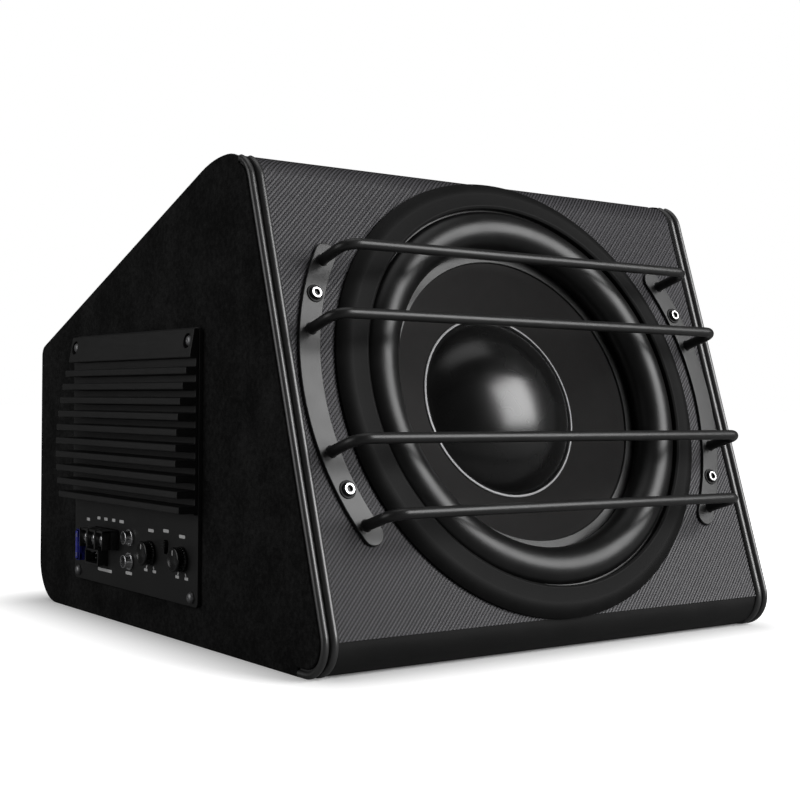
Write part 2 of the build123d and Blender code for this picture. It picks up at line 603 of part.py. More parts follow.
# ---- Guard ----
PLATE_EDGE = 0.6
for side, name in ((-1, "left"), (1, "right")):
    with BuildPart() as guard_plate:
        with BuildSketch(driver_face):
            facing = 0 if side > 0 else 180
            middle_line = Edge.make_circle(
                GUARD_RADIUS, start_angle=facing - GUARD_HALF_ANGLE, end_angle=facing + GUARD_HALF_ANGLE
            )
            SlotArc(middle_line, GUARD_WIDTH)
        extrude(amount=GUARD_PLATE)
        fillet(guard_plate.faces().sort_by(driver_axis)[-1].edges(), PLATE_EDGE)
        with Locations(driver_face):
            with GridLocations(2 * GUARD_SCREW_X, 2 * GUARD_SCREW_UP, 2, 2):
                Cylinder(GUARD_HOLE, 4 * GUARD_PLATE, mode=Mode.SUBTRACT)
    save(guard_plate, f"guard_plate_{name}")

for number, (up, reach) in BARS.items():
    with BuildPart() as guard_bar:
        with BuildLine(across_driver(up)) as bar_route:
            FilletPolyline(
                (-reach, GUARD_PLATE), (-reach, BAR_HEIGHT), (reach, BAR_HEIGHT), (reach, GUARD_PLATE),
                radius=BAR_BEND,
            )
        with BuildSketch(driver_face.offset(GUARD_PLATE)):
            with Locations((-reach, up)):
                Circle(BAR_RADIUS)
        sweep(path=bar_route.wires()[0])
    save(guard_bar, f"guard_bar_{number}")

WASHER, WASHER_RADIUS, WASHER_EDGE = 0.6, 5.0, 0.25
GUARD_HEAD, GUARD_HEAD_RADIUS, GUARD_HEAD_ROUND = 2.0, 3.8, 1.1
GUARD_SHANK, GUARD_SCREW_LENGTH = 2.0, 20.0
HEX_ACROSS, HEX_DEPTH = 3.0, 1.4
with BuildPart() as guard_washers:
    with Locations(driver_face.offset(GUARD_PLATE)):
        with GridLocations(2 * GUARD_SCREW_X, 2 * GUARD_SCREW_UP, 2, 2):
            Cylinder(WASHER_RADIUS, WASHER, align=(Align.CENTER, Align.CENTER, Align.MIN))
            Cylinder(GUARD_HOLE, 4 * WASHER, mode=Mode.SUBTRACT)
    rims = guard_washers.edges().filter_by(GeomType.CIRCLE).filter_by(lambda e: e.radius > WASHER_RADIUS - 0.1)
    chamfer(rims.group_by(driver_axis)[-1], WASHER_EDGE)
save(guard_washers, "guard_washers")

with BuildPart() as guard_screws:
    head_base = GUARD_PLATE + WASHER
    with Locations(driver_face.offset(head_base)):
        with GridLocations(2 * GUARD_SCREW_X, 2 * GUARD_SCREW_UP, 2, 2):
            Cylinder(GUARD_HEAD_RADIUS, GUARD_HEAD, align=(Align.CENTER, Align.CENTER, Align.MIN))
            Cylinder(GUARD_SHANK, GUARD_SCREW_LENGTH, align=(Align.CENTER, Align.CENTER, Align.MAX))
    rims = guard_screws.edges().filter_by(GeomType.CIRCLE).filter_by(lambda e: e.radius > 3)
    fillet(rims.group_by(driver_axis)[-1], GUARD_HEAD_ROUND)
    with BuildSketch(driver_face.offset(head_base + GUARD_HEAD)):
        with GridLocations(2 * GUARD_SCREW_X, 2 * GUARD_SCREW_UP, 2, 2):
            RegularPolygon(HEX_ACROSS / 2, 6, major_radius=False)
    extrude(amount=-HEX_DEPTH, mode=Mode.SUBTRACT)
save(guard_screws, "guard_screws")


# ---- Amplifier ----
def outwards(reach=0.0):
    """The plane parallel to the left side, this far out from it: x is along +Y, y is up, z is inwards."""
    return Plane.YZ.offset(SIDE_X - reach)


def add_block(y, z, reach_from, reach_to, mode=Mode.ADD):
    """A block between two y, two z and two distances out from the left side."""
    with Locations((SIDE_X - (reach_from + reach_to) / 2, (y[0] + y[1]) / 2, (z[0] + z[1]) / 2)):
        Box(abs(reach_to - reach_from), y[1] - y[0], z[1] - z[0], mode=mode)


def add_rod(y, z, radius, reach_from, reach_to, mode=Mode.ADD):
    """A round rod that points out of the left side."""
    with BuildSketch(outwards(reach_to)) as end:
        with Locations((y, z)):
            Circle(radius)
    extrude(end.sketch, amount=reach_to - reach_from, mode=mode)


PHASE_SLOT = (4.4, 4.0 + PHASE_TRAVEL + 2 * FIT)
POT_HOLE, RCA_HOLE = 3.6, 4.6
with BuildPart() as amp_panel:
    add_block(PANEL_Y, PANEL_Z, 0, PANEL)
    fillet(amp_panel.edges().filter_by(Axis.X), 3)
    for z in PANEL_SCREW_Z:
        for y in PANEL_SCREW_Y:
            add_rod(y, z, PANEL_HOLE, -1, PANEL + 1, Mode.SUBTRACT)
    for y in (LEVEL_Y, CROSSOVER_Y):
        add_rod(y, KNOB_Z, POT_HOLE, -1, PANEL + 1, Mode.SUBTRACT)
    for z in RCA_Z:
        add_rod(RCA_Y, z, RCA_HOLE, -1, PANEL + 1, Mode.SUBTRACT)
    for y, z in (
        (TERMINAL_Y, TERMINAL_Z),
        (FUSE_Y, FUSE_Z),
        (SOCKET_Y, SOCKET_Z),
        (
            (PHASE_Y - PHASE_SLOT[0] / 2, PHASE_Y + PHASE_SLOT[0] / 2),
            (PHASE_Z - PHASE_SLOT[1] / 2, PHASE_Z + PHASE_SLOT[1] / 2),
        ),
    ):
        add_block((y[0] - FIT, y[1] + FIT), (z[0] - FIT, z[1] + FIT), -1, PANEL + 1, Mode.SUBTRACT)
save(amp_panel, "amp_panel")

SINK_INSET, SCREW_ACCESS = 0.6, 4.4
with BuildPart() as heat_sink:
    with BuildSketch(Plane.XZ.offset(-sum(PANEL_Y) / 2)) as sink_section:
        with Locations((PANEL_FACE_X, SINK_BOTTOM)):
            Rectangle(SINK_BASE, SINK_TOP - SINK_BOTTOM, align=(Align.MAX, Align.MIN))
        for k in range(FINS):
            fin_z = FIN_TOP - k * FIN_PITCH
            reach = FIN_REACH - (fin_z - FIN_WIDEST_Z) ** 2 / (2 * FIN_ARC)
            with Locations((PANEL_FACE_X, fin_z)):
                Rectangle(reach - PANEL, FIN, align=(Align.MAX, Align.CENTER))
        draw_polygon(
            (PANEL_FACE_X, BLOCK_BOTTOM), (SIDE_X - BLOCK_REACH_LOW, BLOCK_BOTTOM),
            (SIDE_X - BLOCK_REACH_HIGH, SINK_TOP), (PANEL_FACE_X, SINK_TOP),
        )
        tips = sink_section.vertices().filter_by(lambda v: v.X < PANEL_FACE_X - SINK_BASE - 1)
        fillet(tips, 0.8)
    extrude(amount=(PANEL_Y[1] - PANEL_Y[0]) / 2 - SINK_INSET, both=True)
    for y in PANEL_SCREW_Y:
        add_rod(y, PANEL_SCREW_Z[1], SCREW_ACCESS, PANEL + SINK_BASE, 4 * PANEL, Mode.SUBTRACT)
        add_rod(y, PANEL_SCREW_Z[1], PANEL_HOLE, 0, 4 * PANEL, Mode.SUBTRACT)
save(heat_sink, "heat_sink")

AMP_HEAD, AMP_HEAD_RADIUS, AMP_SHANK, AMP_SCREW_LENGTH = 2.2, 3.4, 1.7, 18.0
RECESS_LENGTH, RECESS_WIDTH, RECESS_DEPTH = 4.2, 0.9, 1.3
amp_screw_rows = list(zip(PANEL_SCREW_Z, (PANEL, PANEL + SINK_BASE)))
with BuildPart() as amp_screws:
    for z, seat in amp_screw_rows:
        for y in PANEL_SCREW_Y:
            add_rod(y, z, AMP_HEAD_RADIUS, seat, seat + AMP_HEAD)
            add_rod(y, z, AMP_SHANK, seat - AMP_SCREW_LENGTH, seat)
        rims = amp_screws.edges().filter_by(GeomType.CIRCLE).filter_by(Plane.YZ)
        crown_x = SIDE_X - seat - AMP_HEAD
        fillet(rims.filter_by(lambda e: abs(e.center().X - crown_x) < 0.01), 0.8)
        for y in PANEL_SCREW_Y:
            with BuildSketch(outwards(seat + AMP_HEAD)):
                with Locations((y, z)):
                    Rectangle(RECESS_LENGTH, RECESS_WIDTH)
                    Rectangle(RECESS_WIDTH, RECESS_LENGTH)
            extrude(amount=RECESS_DEPTH, mode=Mode.SUBTRACT)
save(amp_screws, "amp_screws")


def shrink(span, margin):
    return (span[0] + margin, span[1] - margin)


COVER_Y, COVER_Z = shrink(OPENING_Y, 1), shrink(OPENING_Z, 1)
with BuildPart() as amp_rear_cover:
    add_block(COVER_Y, COVER_Z, 0, -COVER_DEPTH)
    add_block(shrink(COVER_Y, COVER_WALL), shrink(COVER_Z, COVER_WALL), 1, COVER_WALL - COVER_DEPTH,
              Mode.SUBTRACT)
save(amp_rear_cover, "amp_rear_cover")

BOARD_REACH, CIRCUIT, CIRCUIT_MARGIN_Y, CIRCUIT_MARGIN_Z = -20.0, 1.6, 6.0, 5.0
with BuildPart() as circuit_board:
    add_block(shrink(COVER_Y, CIRCUIT_MARGIN_Y), shrink(COVER_Z, CIRCUIT_MARGIN_Z), BOARD_REACH,
              BOARD_REACH - CIRCUIT)
save(circuit_board, "amp_circuit_board")

TOROID_PLACE, TOROID_OUTER, TOROID_BORE, TOROID_TALL = (-5.0, 135.0), 19.0, 8.0, 16.0
with BuildPart() as transformer:
    with BuildSketch(outwards(BOARD_REACH - CIRCUIT)):
        with Locations(TOROID_PLACE):
            Circle(TOROID_OUTER)
            Circle(TOROID_BORE, mode=Mode.SUBTRACT)
    extrude(amount=TOROID_TALL)
    fillet(transformer.edges(), 3)
save(transformer, "toroid_transformer")

CAPACITORS_Y, CAPACITOR_Z, CAPACITOR_RADIUS, CAPACITOR_TALL = (40.0, 58.0, 76.0), 145.0, 8.0, 20.0
with BuildPart() as capacitors:
    with BuildSketch(outwards(BOARD_REACH - CIRCUIT)):
        with Locations([(y, CAPACITOR_Z) for y in CAPACITORS_Y]):
            Circle(CAPACITOR_RADIUS)
    extrude(amount=CAPACITOR_TALL)
    fillet(capacitors.edges(), 1)
save(capacitors, "filter_capacitors")

TRANSISTORS_Y, TRANSISTOR_Z = (-20.0, 0.0, 40.0, 60.0), (100.0, 116.0)
TRANSISTOR_WIDTH, TRANSISTOR_DEPTH = 12.0, 5.0
with BuildPart() as transistors:
    for y in TRANSISTORS_Y:
        add_block((y, y + TRANSISTOR_WIDTH), TRANSISTOR_Z, 0, -TRANSISTOR_DEPTH)
save(transistors, "power_transistors")

# Each pot's shaft is part of its knob, and turns in the pot's bore.
POT_DEPTH, POT_HALF, POT_BUSH, SHAFT_IN = 10.0, 7.5, 3.5, 8.0
KNOB_CROWN, POINTER_WIDTH, POINTER_DEPTH = 0.9, 1.0, 0.7
KNOBS_Y = {"level": LEVEL_Y, "crossover": CROSSOVER_Y}
with BuildPart() as pots:
    for y in KNOBS_Y.values():
        add_block((y - POT_HALF, y + POT_HALF), (KNOB_Z - POT_HALF, KNOB_Z + POT_HALF), 0, -POT_DEPTH)
        add_rod(y, KNOB_Z, POT_BUSH, 0, PANEL)
        add_rod(y, KNOB_Z, SHAFT_RADIUS + SHAFT_CLEARANCE, -SHAFT_IN - FIT, PANEL + 1, Mode.SUBTRACT)
save(pots, "control_pots")

for name, y in KNOBS_Y.items():
    with BuildPart() as knob:
        add_rod(y, KNOB_Z, KNOB_RADIUS, PANEL + FIT, KNOB_REACH)
        crown = knob.edges().filter_by(GeomType.CIRCLE).sort_by(Axis.X)[0]
        fillet(crown, KNOB_CROWN)
        add_rod(y, KNOB_Z, SHAFT_RADIUS, -SHAFT_IN, PANEL + FIT)
        with BuildSketch(outwards(KNOB_REACH)):
            with Locations((y, KNOB_Z + KNOB_RADIUS / 2)):
                Rectangle(POINTER_WIDTH, KNOB_RADIUS)
        extrude(amount=POINTER_DEPTH, mode=Mode.SUBTRACT)
    save(knob, f"{name}_knob")

SWITCH_DEPTH, SWITCH_HALF, SWITCH_TRACK = 6.0, (4.0, 7.0), 3.0
LEVER_HALF, LEVER_REACH = (1.9, 2.0), 2.5
with BuildPart() as phase_switch:
    add_block(
        (PHASE_Y - SWITCH_HALF[0], PHASE_Y + SWITCH_HALF[0]),
        (PHASE_Z - SWITCH_HALF[1], PHASE_Z + SWITCH_HALF[1]), 0, -SWITCH_DEPTH,
    )
    add_block(
        (PHASE_Y - PHASE_SLOT[0] / 2, PHASE_Y + PHASE_SLOT[0] / 2),
        (PHASE_Z - PHASE_SLOT[1] / 2, PHASE_Z + PHASE_SLOT[1] / 2),
        1, -SWITCH_TRACK, Mode.SUBTRACT,
    )
save(phase_switch, "phase_switch_body")

with BuildPart() as phase_slider:
    slider_z = PHASE_Z + PHASE_TRAVEL / 2
    add_block(
        (PHASE_Y - LEVER_HALF[0], PHASE_Y + LEVER_HALF[0]),
        (slider_z - LEVER_HALF[1], slider_z + LEVER_HALF[1]), FIT - SWITCH_TRACK, PANEL + LEVER_REACH,
    )
    fillet(phase_slider.edges().group_by(Axis.X)[0], 0.6)
save(phase_slider, "phase_switch_slider")

RCA_BUSH, RCA_BUSH_DEPTH, RCA_FLANGE_RADIUS, RCA_FLANGE = 4.5, 8.0, 5.4, 1.2
RCA_RIM, PIN_BORE, PIN_BORE_DEPTH = 0.4, 1.6, 7.0
for z, name in zip(RCA_Z, ("upper", "lower")):
    with BuildPart() as rca_jack:
        add_rod(RCA_Y, z, RCA_BUSH, -RCA_BUSH_DEPTH, PANEL)
        add_rod(RCA_Y, z, RCA_FLANGE_RADIUS, PANEL, PANEL + RCA_FLANGE)
        add_rod(RCA_Y, z, RCA_RADIUS, PANEL + RCA_FLANGE, RCA_REACH)
        rim = rca_jack.edges().filter_by(GeomType.CIRCLE).sort_by(Axis.X)[0]
        chamfer(rim, RCA_RIM)
        add_rod(RCA_Y, z, PIN_BORE, RCA_REACH - PIN_BORE_DEPTH, RCA_REACH + 1, Mode.SUBTRACT)
    save(rca_jack, f"rca_jack_{name}")

BAY, BAY_FLOOR, BAY_ROOF = 9.6, 8.5, 1.5
TERMINAL_DEPTH, TERMINAL_BORE, TERMINAL_BORE_DEPTH = 6.0, 1.75, 3.0
with BuildPart() as terminal_block:
    add_block(TERMINAL_Y, TERMINAL_Z, -TERMINAL_DEPTH, TERMINAL_REACH)
    for y in TERMINAL_SCREW_Y:
        add_block((y - BAY / 2, y + BAY / 2), (TERMINAL_Z[0] - 1, TERMINAL_Z[1] - BAY_ROOF), BAY_FLOOR,
                  TERMINAL_REACH + 1, Mode.SUBTRACT)
        add_rod(y, TERMINAL_SCREW_Z, TERMINAL_BORE, -TERMINAL_BORE_DEPTH, TERMINAL_REACH, Mode.SUBTRACT)
save(terminal_block, "power_terminal_block")

TERMINAL_HEAD_RADIUS, TERMINAL_HEAD, TERMINAL_SHANK, TERMINAL_SHANK_DEPTH = 3.6, 2.7, 1.7, 2.5
CLAMP, CLAMP_HALF, CROSS_LENGTH, CROSS_WIDTH, CROSS_DEPTH = 0.9, 4.2, 5.8, 1.0, 1.1
head_reach = BAY_FLOOR + CLAMP + TERMINAL_HEAD
with BuildPart() as terminal_screws:
    for y in TERMINAL_SCREW_Y:
        add_block(
            (y - CLAMP_HALF, y + CLAMP_HALF), (TERMINAL_SCREW_Z - CLAMP_HALF, TERMINAL_SCREW_Z + CLAMP_HALF),
            BAY_FLOOR, BAY_FLOOR + CLAMP,
        )
        add_rod(y, TERMINAL_SCREW_Z, TERMINAL_HEAD_RADIUS, BAY_FLOOR + CLAMP, head_reach)
        add_rod(y, TERMINAL_SCREW_Z, TERMINAL_SHANK, -TERMINAL_SHANK_DEPTH, BAY_FLOOR)
        with BuildSketch(outwards(head_reach)):
            with Locations((y, TERMINAL_SCREW_Z)):
                Rectangle(CROSS_LENGTH, CROSS_WIDTH)
                Rectangle(CROSS_WIDTH, CROSS_LENGTH)
        extrude(amount=CROSS_DEPTH, mode=Mode.SUBTRACT)
save(terminal_screws, "terminal_screws")

BLADE_Z, BLADE_HALF, BLADE_HALF_THICK, BLADE_DEPTH = 7.0, 2.6, 0.35, 8.0
HOLDER_MARGIN_Y, HOLDER_MARGIN_Z, HOLDER_DEPTH = 0.7, 2.0, 12.0
FUSE_MIDDLE_Z = sum(FUSE_Z) / 2
FUSE_MIDDLE_Y = sum(FUSE_Y) / 2
BLADES_Z = [FUSE_MIDDLE_Z + s * BLADE_Z for s in (-1, 1)]
with BuildPart() as fuse_holder:
    add_block(shrink(FUSE_Y, -HOLDER_MARGIN_Y), shrink(FUSE_Z, -HOLDER_MARGIN_Z), 0, -HOLDER_DEPTH)
    for z in BLADES_Z:
        add_block(
            (FUSE_MIDDLE_Y - BLADE_HALF_THICK - FIT, FUSE_MIDDLE_Y + BLADE_HALF_THICK + FIT),
            (z - BLADE_HALF - FIT, z + BLADE_HALF + FIT),
            1, -BLADE_DEPTH - FIT, Mode.SUBTRACT,
        )
save(fuse_holder, "fuse_holder")

with BuildPart() as blade_fuse:
    add_block(FUSE_Y, FUSE_Z, FIT, FUSE_REACH)
    fillet(blade_fuse.edges().filter_by(Axis.X), 0.8)
    fillet(blade_fuse.edges().group_by(Axis.X)[0], 0.5)
    for z in BLADES_Z:
        add_block(
            (FUSE_MIDDLE_Y - BLADE_HALF_THICK, FUSE_MIDDLE_Y + BLADE_HALF_THICK),
            (z - BLADE_HALF, z + BLADE_HALF), -BLADE_DEPTH, FIT,
        )
save(blade_fuse, "blade_fuse")

SOCKET_WALL, SOCKET_DEPTH, SOCKET_FLOOR = 1.4, 8.0, 1.5
with BuildPart() as high_level_socket:
    add_block(SOCKET_Y, SOCKET_Z, -SOCKET_DEPTH, SOCKET_REACH)
    add_block(
        shrink(SOCKET_Y, SOCKET_WALL), shrink(SOCKET_Z, SOCKET_WALL), SOCKET_FLOOR - SOCKET_DEPTH,
        SOCKET_REACH + 1, Mode.SUBTRACT,
    )
save(high_level_socket, "high_level_socket")
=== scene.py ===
"""Looks of the powered car subwoofer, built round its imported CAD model.

Sizes and places in this script are millimetres in the part's own frame: +Z up, +Y towards the back, the
driver looks towards -Y and the amplifier is on the -X side. Shape.make turns them into metres.
"""

import json
from math import atan2, cos, degrees, hypot, pi, radians, sin, sqrt, tan

import bmesh
import bpy
import numpy as np
from mathutils import Matrix, Vector, noise
from mathutils.geometry import tessellate_polygon


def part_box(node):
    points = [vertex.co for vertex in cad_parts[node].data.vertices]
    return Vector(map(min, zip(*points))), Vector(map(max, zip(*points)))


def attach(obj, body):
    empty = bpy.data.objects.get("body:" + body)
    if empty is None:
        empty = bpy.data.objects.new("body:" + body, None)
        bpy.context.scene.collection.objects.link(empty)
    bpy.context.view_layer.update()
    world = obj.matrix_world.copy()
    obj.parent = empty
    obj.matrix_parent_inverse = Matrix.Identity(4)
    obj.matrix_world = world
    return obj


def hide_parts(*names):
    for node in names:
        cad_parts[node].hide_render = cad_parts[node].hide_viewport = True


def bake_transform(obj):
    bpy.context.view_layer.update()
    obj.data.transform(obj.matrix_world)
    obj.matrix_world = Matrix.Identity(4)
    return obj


MM = 0.001

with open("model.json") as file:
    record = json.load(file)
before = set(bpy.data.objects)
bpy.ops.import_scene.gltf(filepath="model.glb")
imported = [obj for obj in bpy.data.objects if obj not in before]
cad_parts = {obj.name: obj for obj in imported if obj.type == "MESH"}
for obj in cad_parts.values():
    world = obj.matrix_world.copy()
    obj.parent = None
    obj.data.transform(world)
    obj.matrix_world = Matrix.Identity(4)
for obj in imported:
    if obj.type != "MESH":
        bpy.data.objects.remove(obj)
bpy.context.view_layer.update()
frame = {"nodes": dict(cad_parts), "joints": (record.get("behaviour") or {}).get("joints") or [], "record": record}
nodes = frame["nodes"]


# ---- Places read from the frame ----
def corners(node):
    low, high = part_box(node)
    return np.array(low) / MM, np.array(high) / MM


def spread(node, direction):
    """Lowest and highest reach of a CAD node along a direction."""
    points = np.array([v.co for v in nodes[node].data.vertices]) / MM
    along = points @ np.array(direction)
    return along.min(), along.max()


travel = next(j for j in frame["joints"] if j["name"] == "cone_travel")
NORMAL = Vector(travel["axis"])
UP = Vector((0, NORMAL.z, -NORMAL.y))
FRONT_LEAN = atan2(NORMAL.z, -NORMAL.y)
ring_up = spread("driver_gasket_ring", UP)
ring_height = spread("driver_gasket_ring", NORMAL)
CENTRE = UP * sum(ring_up) / 2 + NORMAL * ring_height[0]

panel_low, panel_high = corners("amp_panel")
SIDE_X = panel_high[0]
PANEL = SIDE_X - panel_low[0]


# ---- Where local shapes stand: columns are the local axes, then the origin ----
def placed(x_axis, y_axis, z_axis, origin):
    matrix = Matrix((x_axis, y_axis, z_axis)).transposed().to_4x4()
    matrix.translation = Vector(origin)
    return matrix


def on_driver(x=0.0, up=0.0, height=0.0):
    """Local x is to the right, y up the front and z outwards from the front."""
    return placed((1, 0, 0), UP, NORMAL, CENTRE + Vector((x, 0, 0)) + UP * up + NORMAL * height)


def on_side(y=0.0, z=0.0, reach=0.0):
    """Local x is towards the front, y up and z outwards from the left side."""
    return placed((0, -1, 0), (0, 0, 1), (-1, 0, 0), (SIDE_X - reach, y, z))


# ---- Outlines ----
def arc(middle, radius, start, end, steps):
    """Points on an arc, from one angle to another, in degrees."""
    angles = [radians(start + (end - start) * k / steps) for k in range(steps + 1)]
    return [(middle[0] + radius * cos(a), middle[1] + radius * sin(a)) for a in angles]


def arc_through(first, middle, last, steps):
    """Points on the arc through three points."""
    (ax, ay), (bx, by), (cx, cy) = first, middle, last
    d = 2 * (ax * (by - cy) + bx * (cy - ay) + cx * (ay - by))
    squares = [x * x + y * y for x, y in (first, middle, last)]
    ux = (squares[0] * (by - cy) + squares[1] * (cy - ay) + squares[2] * (ay - by)) / d
    uy = (squares[0] * (cx - bx) + squares[1] * (ax - cx) + squares[2] * (bx - ax)) / d
    angles = [degrees(atan2(y - uy, x - ux)) for x, y in (first, middle, last)]
    turn = (angles[2] - angles[0]) % 360
    if (angles[1] - angles[0]) % 360 > turn:
        turn -= 360
    return arc((ux, uy), hypot(ax - ux, ay - uy), angles[0], angles[0] + turn, steps)


def rounded(points, steps=5, closed=True):
    """An outline of (x, y) or (x, y, radius) corners, with each radius made an arc."""
    made = []
    count = len(points)
    for k, point in enumerate(points):
        here = Vector(point[:2])
        radius = point[2] if len(point) > 2 else 0
        if not radius or (not closed and k in (0, count - 1)):
            made.append(tuple(here))
            continue
        before = (Vector(points[k - 1][:2]) - here).normalized()
        after = (Vector(points[(k + 1) % count][:2]) - here).normalized()
        half = before.angle(after) / 2
        middle = here + (before + after).normalized() * radius / sin(half)
        start = here + before * radius / tan(half) - middle
        end = here + after * radius / tan(half) - middle
        first = degrees(atan2(start.y, start.x))
        turn = (degrees(atan2(end.y, end.x)) - first + 180) % 360 - 180
        made += arc(middle, radius, first, first + turn, steps)
    return made


def rectangle(width, height, radius=0.0, middle=(0, 0), steps=5):
    x, y = middle
    w, h = width / 2, height / 2
    return rounded([(x - w, y - h, radius), (x + w, y - h, radius), (x + w, y + h, radius),
                    (x - w, y + h, radius)], steps)


def circle(radius, middle=(0, 0), steps=40):
    return arc(middle, radius, 0, 360, steps)[:-1]


def signed_area(outline):
    return sum(a[0] * b[1] - b[0] * a[1] for a, b in zip(outline, outline[1:] + outline[:1])) / 2


def inset(outline, amount):
    """The outline moved to the left of its direction, with its corners mitred."""
    moved = []
    for k, here in enumerate(outline):
        into = (Vector(here) - Vector(outline[k - 1])).normalized()
        away = (Vector(outline[(k + 1) % len(outline)]) - Vector(here)).normalized()
        left = (Vector((-into.y, into.x)) + Vector((-away.y, away.x))).normalized()
        lean = max(0.3, left.dot(Vector((-into.y, into.x))))
        moved.append(tuple(Vector(here) + left * amount / lean))
    return moved


# ---- Meshes ----
WELDED = 1e-6  # points this close are one point, in metres
CREASE = 32  # faces that meet at more degrees than this keep a sharp edge
ROUND_CREASE = 40  # the same, on small turned pieces
EDGE_STEPS = 3


def link(thing):
    bpy.context.scene.collection.objects.link(thing)


def sharpen(piece, crease=CREASE):
    piece.data.set_sharp_from_angle(angle=radians(crease))


class Shape:
    """Collects the surfaces of one piece, in millimetres."""

    def __init__(self):
        self.points = []
        self.faces = []
        self.weave = []

    def add(self, points, faces, place=None):
        base = len(self.points)
        place = place or Matrix.Identity(4)
        self.points += [place @ Vector(p) for p in points]
        self.faces += [tuple(base + k for k in face) for face in faces]
        return self

    def grid(self, rows, place=None, closed_rows=False, closed_columns=False):
        """Rows of points of the same length, joined by quads."""
        count, width = len(rows), len(rows[0])
        faces = []
        for r in range(count if closed_columns else count - 1):
            for c in range(width if closed_rows else width - 1):
                after, across = (r + 1) % count, (c + 1) % width
                faces.append((r * width + c, r * width + across, after * width + across, after * width + c))
        return self.add([p for row in rows for p in row], faces, place)

    def turned(self, outline, place=None, closed=True, segments=96, start=0.0, sweep=360.0):
        """A (radius, height) outline turned about the local z axis."""
        whole = abs(sweep - 360) < 1e-6
        angles = [radians(start + sweep * k / segments) for k in range(segments + (0 if whole else 1))]
        rows = [[(r * cos(a), r * sin(a), h) for a in angles] for r, h in outline]
        return self.grid(rows, place, closed_rows=whole, closed_columns=closed)

    def fluted(self, profile, count, place=None):
        """A turned form with grooves down its side: its profile is (radius, height, depth of the grooves)."""
        segments = 6 * count
        angles = [2 * pi * k / segments for k in range(segments)]
        waves = [(0.5 - 0.5 * cos(count * a)) ** 2 for a in angles]
        rows = [[((r - depth * w) * cos(a), (r - depth * w) * sin(a), h) for a, w in zip(angles, waves)]
                for r, h, depth in profile]
        return self.grid(rows, place, closed_rows=True, closed_columns=True)

    def plate(self, outlines, low, high, edge=0.0, place=None):
        """A flat piece between two heights: its outline, then its holes, with rounded edges."""
        outer = outlines[0] if signed_area(outlines[0]) > 0 else outlines[0][::-1]
        loops = [outer] + [hole if signed_area(hole) < 0 else hole[::-1] for hole in outlines[1:]]
        rim = [(edge, low)]
        if edge:
            quarter = [radians(90 * k / EDGE_STEPS) for k in range(EDGE_STEPS + 1)]
            rim = [(edge * (1 - sin(a)), low + edge * (1 - cos(a))) for a in quarter]
        rim += [(amount, high + low - height) for amount, height in reversed(rim)]
        for loop in loops:
            levels = [[(*p, height) for p in inset(loop, amount)] for amount, height in rim]
            self.grid(levels, place, closed_rows=True)
        for amount, height in (rim[0], rim[-1]):
            caps = [[Vector((*p, height)) for p in inset(loop, amount)] for loop in loops]
            self.add([p for cap in caps for p in cap], tessellate_polygon(caps), place)
        return self

    def swept(self, path, section, to_space):
        """A closed section of (aside, across) points along a flat path: across is to the path's right."""
        rows = []
        for k, here in enumerate(path):
            before = Vector(path[max(k - 1, 0)])
            after = Vector(path[min(k + 1, len(path) - 1)])
            along = (after - before).normalized()
            right = Vector((along.y, -along.x))
            rows.append([to_space(aside, *(Vector(here) + right * across)) for aside, across in section])
        self.grid(rows, closed_rows=True)
        for row in (rows[0], rows[-1]):
            self.add(row, [tuple(range(len(row)))])
        return self

    def make(self, name, material, body="enclosure", slot=None, replaces=(), crease=CREASE, ride=True):
        mesh = bpy.data.meshes.new(name)
        mesh.from_pydata([p * MM for p in self.points], [], self.faces)
        if self.weave:
            layer = mesh.uv_layers.new(name="weave")
            for loop in mesh.loops:
                layer.data[loop.index].uv = self.weave[loop.vertex_index]
        tidy = bmesh.new()
        tidy.from_mesh(mesh)
        bmesh.ops.remove_doubles(tidy, verts=tidy.verts, dist=WELDED)
        bmesh.ops.dissolve_degenerate(tidy, edges=tidy.edges, dist=1e-7)
        bmesh.ops.recalc_face_normals(tidy, faces=tidy.faces)
        tidy.to_mesh(mesh)
        tidy.free()
        mesh.shade_smooth()
        piece = bpy.data.objects.new(name, mesh)
        sharpen(piece, crease)
        link(piece)
        mesh.materials.append(material)
        if replaces:
            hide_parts(*replaces)
        if ride:
            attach(piece, body)
        return piece


def settle(piece):
    """Applies a piece's modifiers to its mesh."""
    bpy.context.view_layer.update()
    graph = bpy.context.evaluated_depsgraph_get()
    finished = bpy.data.meshes.new_from_object(piece.evaluated_get(graph))
    piece.modifiers.clear()
    piece.data = finished
    return piece


def weigh_normals(piece):
    """Keeps large flat faces flat in the light beside small rounded edges."""
    piece.modifiers.new("weigh", "WEIGHTED_NORMAL").keep_sharp = True
    return settle(piece)


# ---- Materials ----
class Field:
    """A value in a material's node tree, used in formulas."""

    def __init__(self, tree, socket):
        self.tree = tree
        self.socket = socket

    def math(self, operation, *others, clamp=False):
        node = self.tree.nodes.new("ShaderNodeMath")
        node.operation = operation
        node.use_clamp = clamp
        for socket, value in zip(node.inputs, (self, *others)):
            plug(self.tree, value, socket)
        return Field(self.tree, node.outputs[0])

    def __add__(self, other):
        return self.math("ADD", other)

    def __sub__(self, other):
        return self.math("SUBTRACT", other)

    def __mul__(self, other):
        return self.math("MULTIPLY", other)

    def __mod__(self, other):
        return self.math("FLOORED_MODULO", other)

    def __pow__(self, other):
        return self.math("POWER", other)

    def __lt__(self, other):
        return self.math("LESS_THAN", other)

    def floor(self):
        return self.math("FLOOR")

    def part(self):
        return self.math("FRACT")

    def size(self):
        return self.math("ABSOLUTE")

    def flipped(self):
        return (self * -1.0) + 1.0


def plug(tree, value, socket):
    if isinstance(value, Field):
        tree.links.new(value.socket, socket)
    else:
        socket.default_value = value


def choose(where, yes, no):
    """yes where the field is 1, no where it is 0."""
    return where * yes + where.flipped() * no


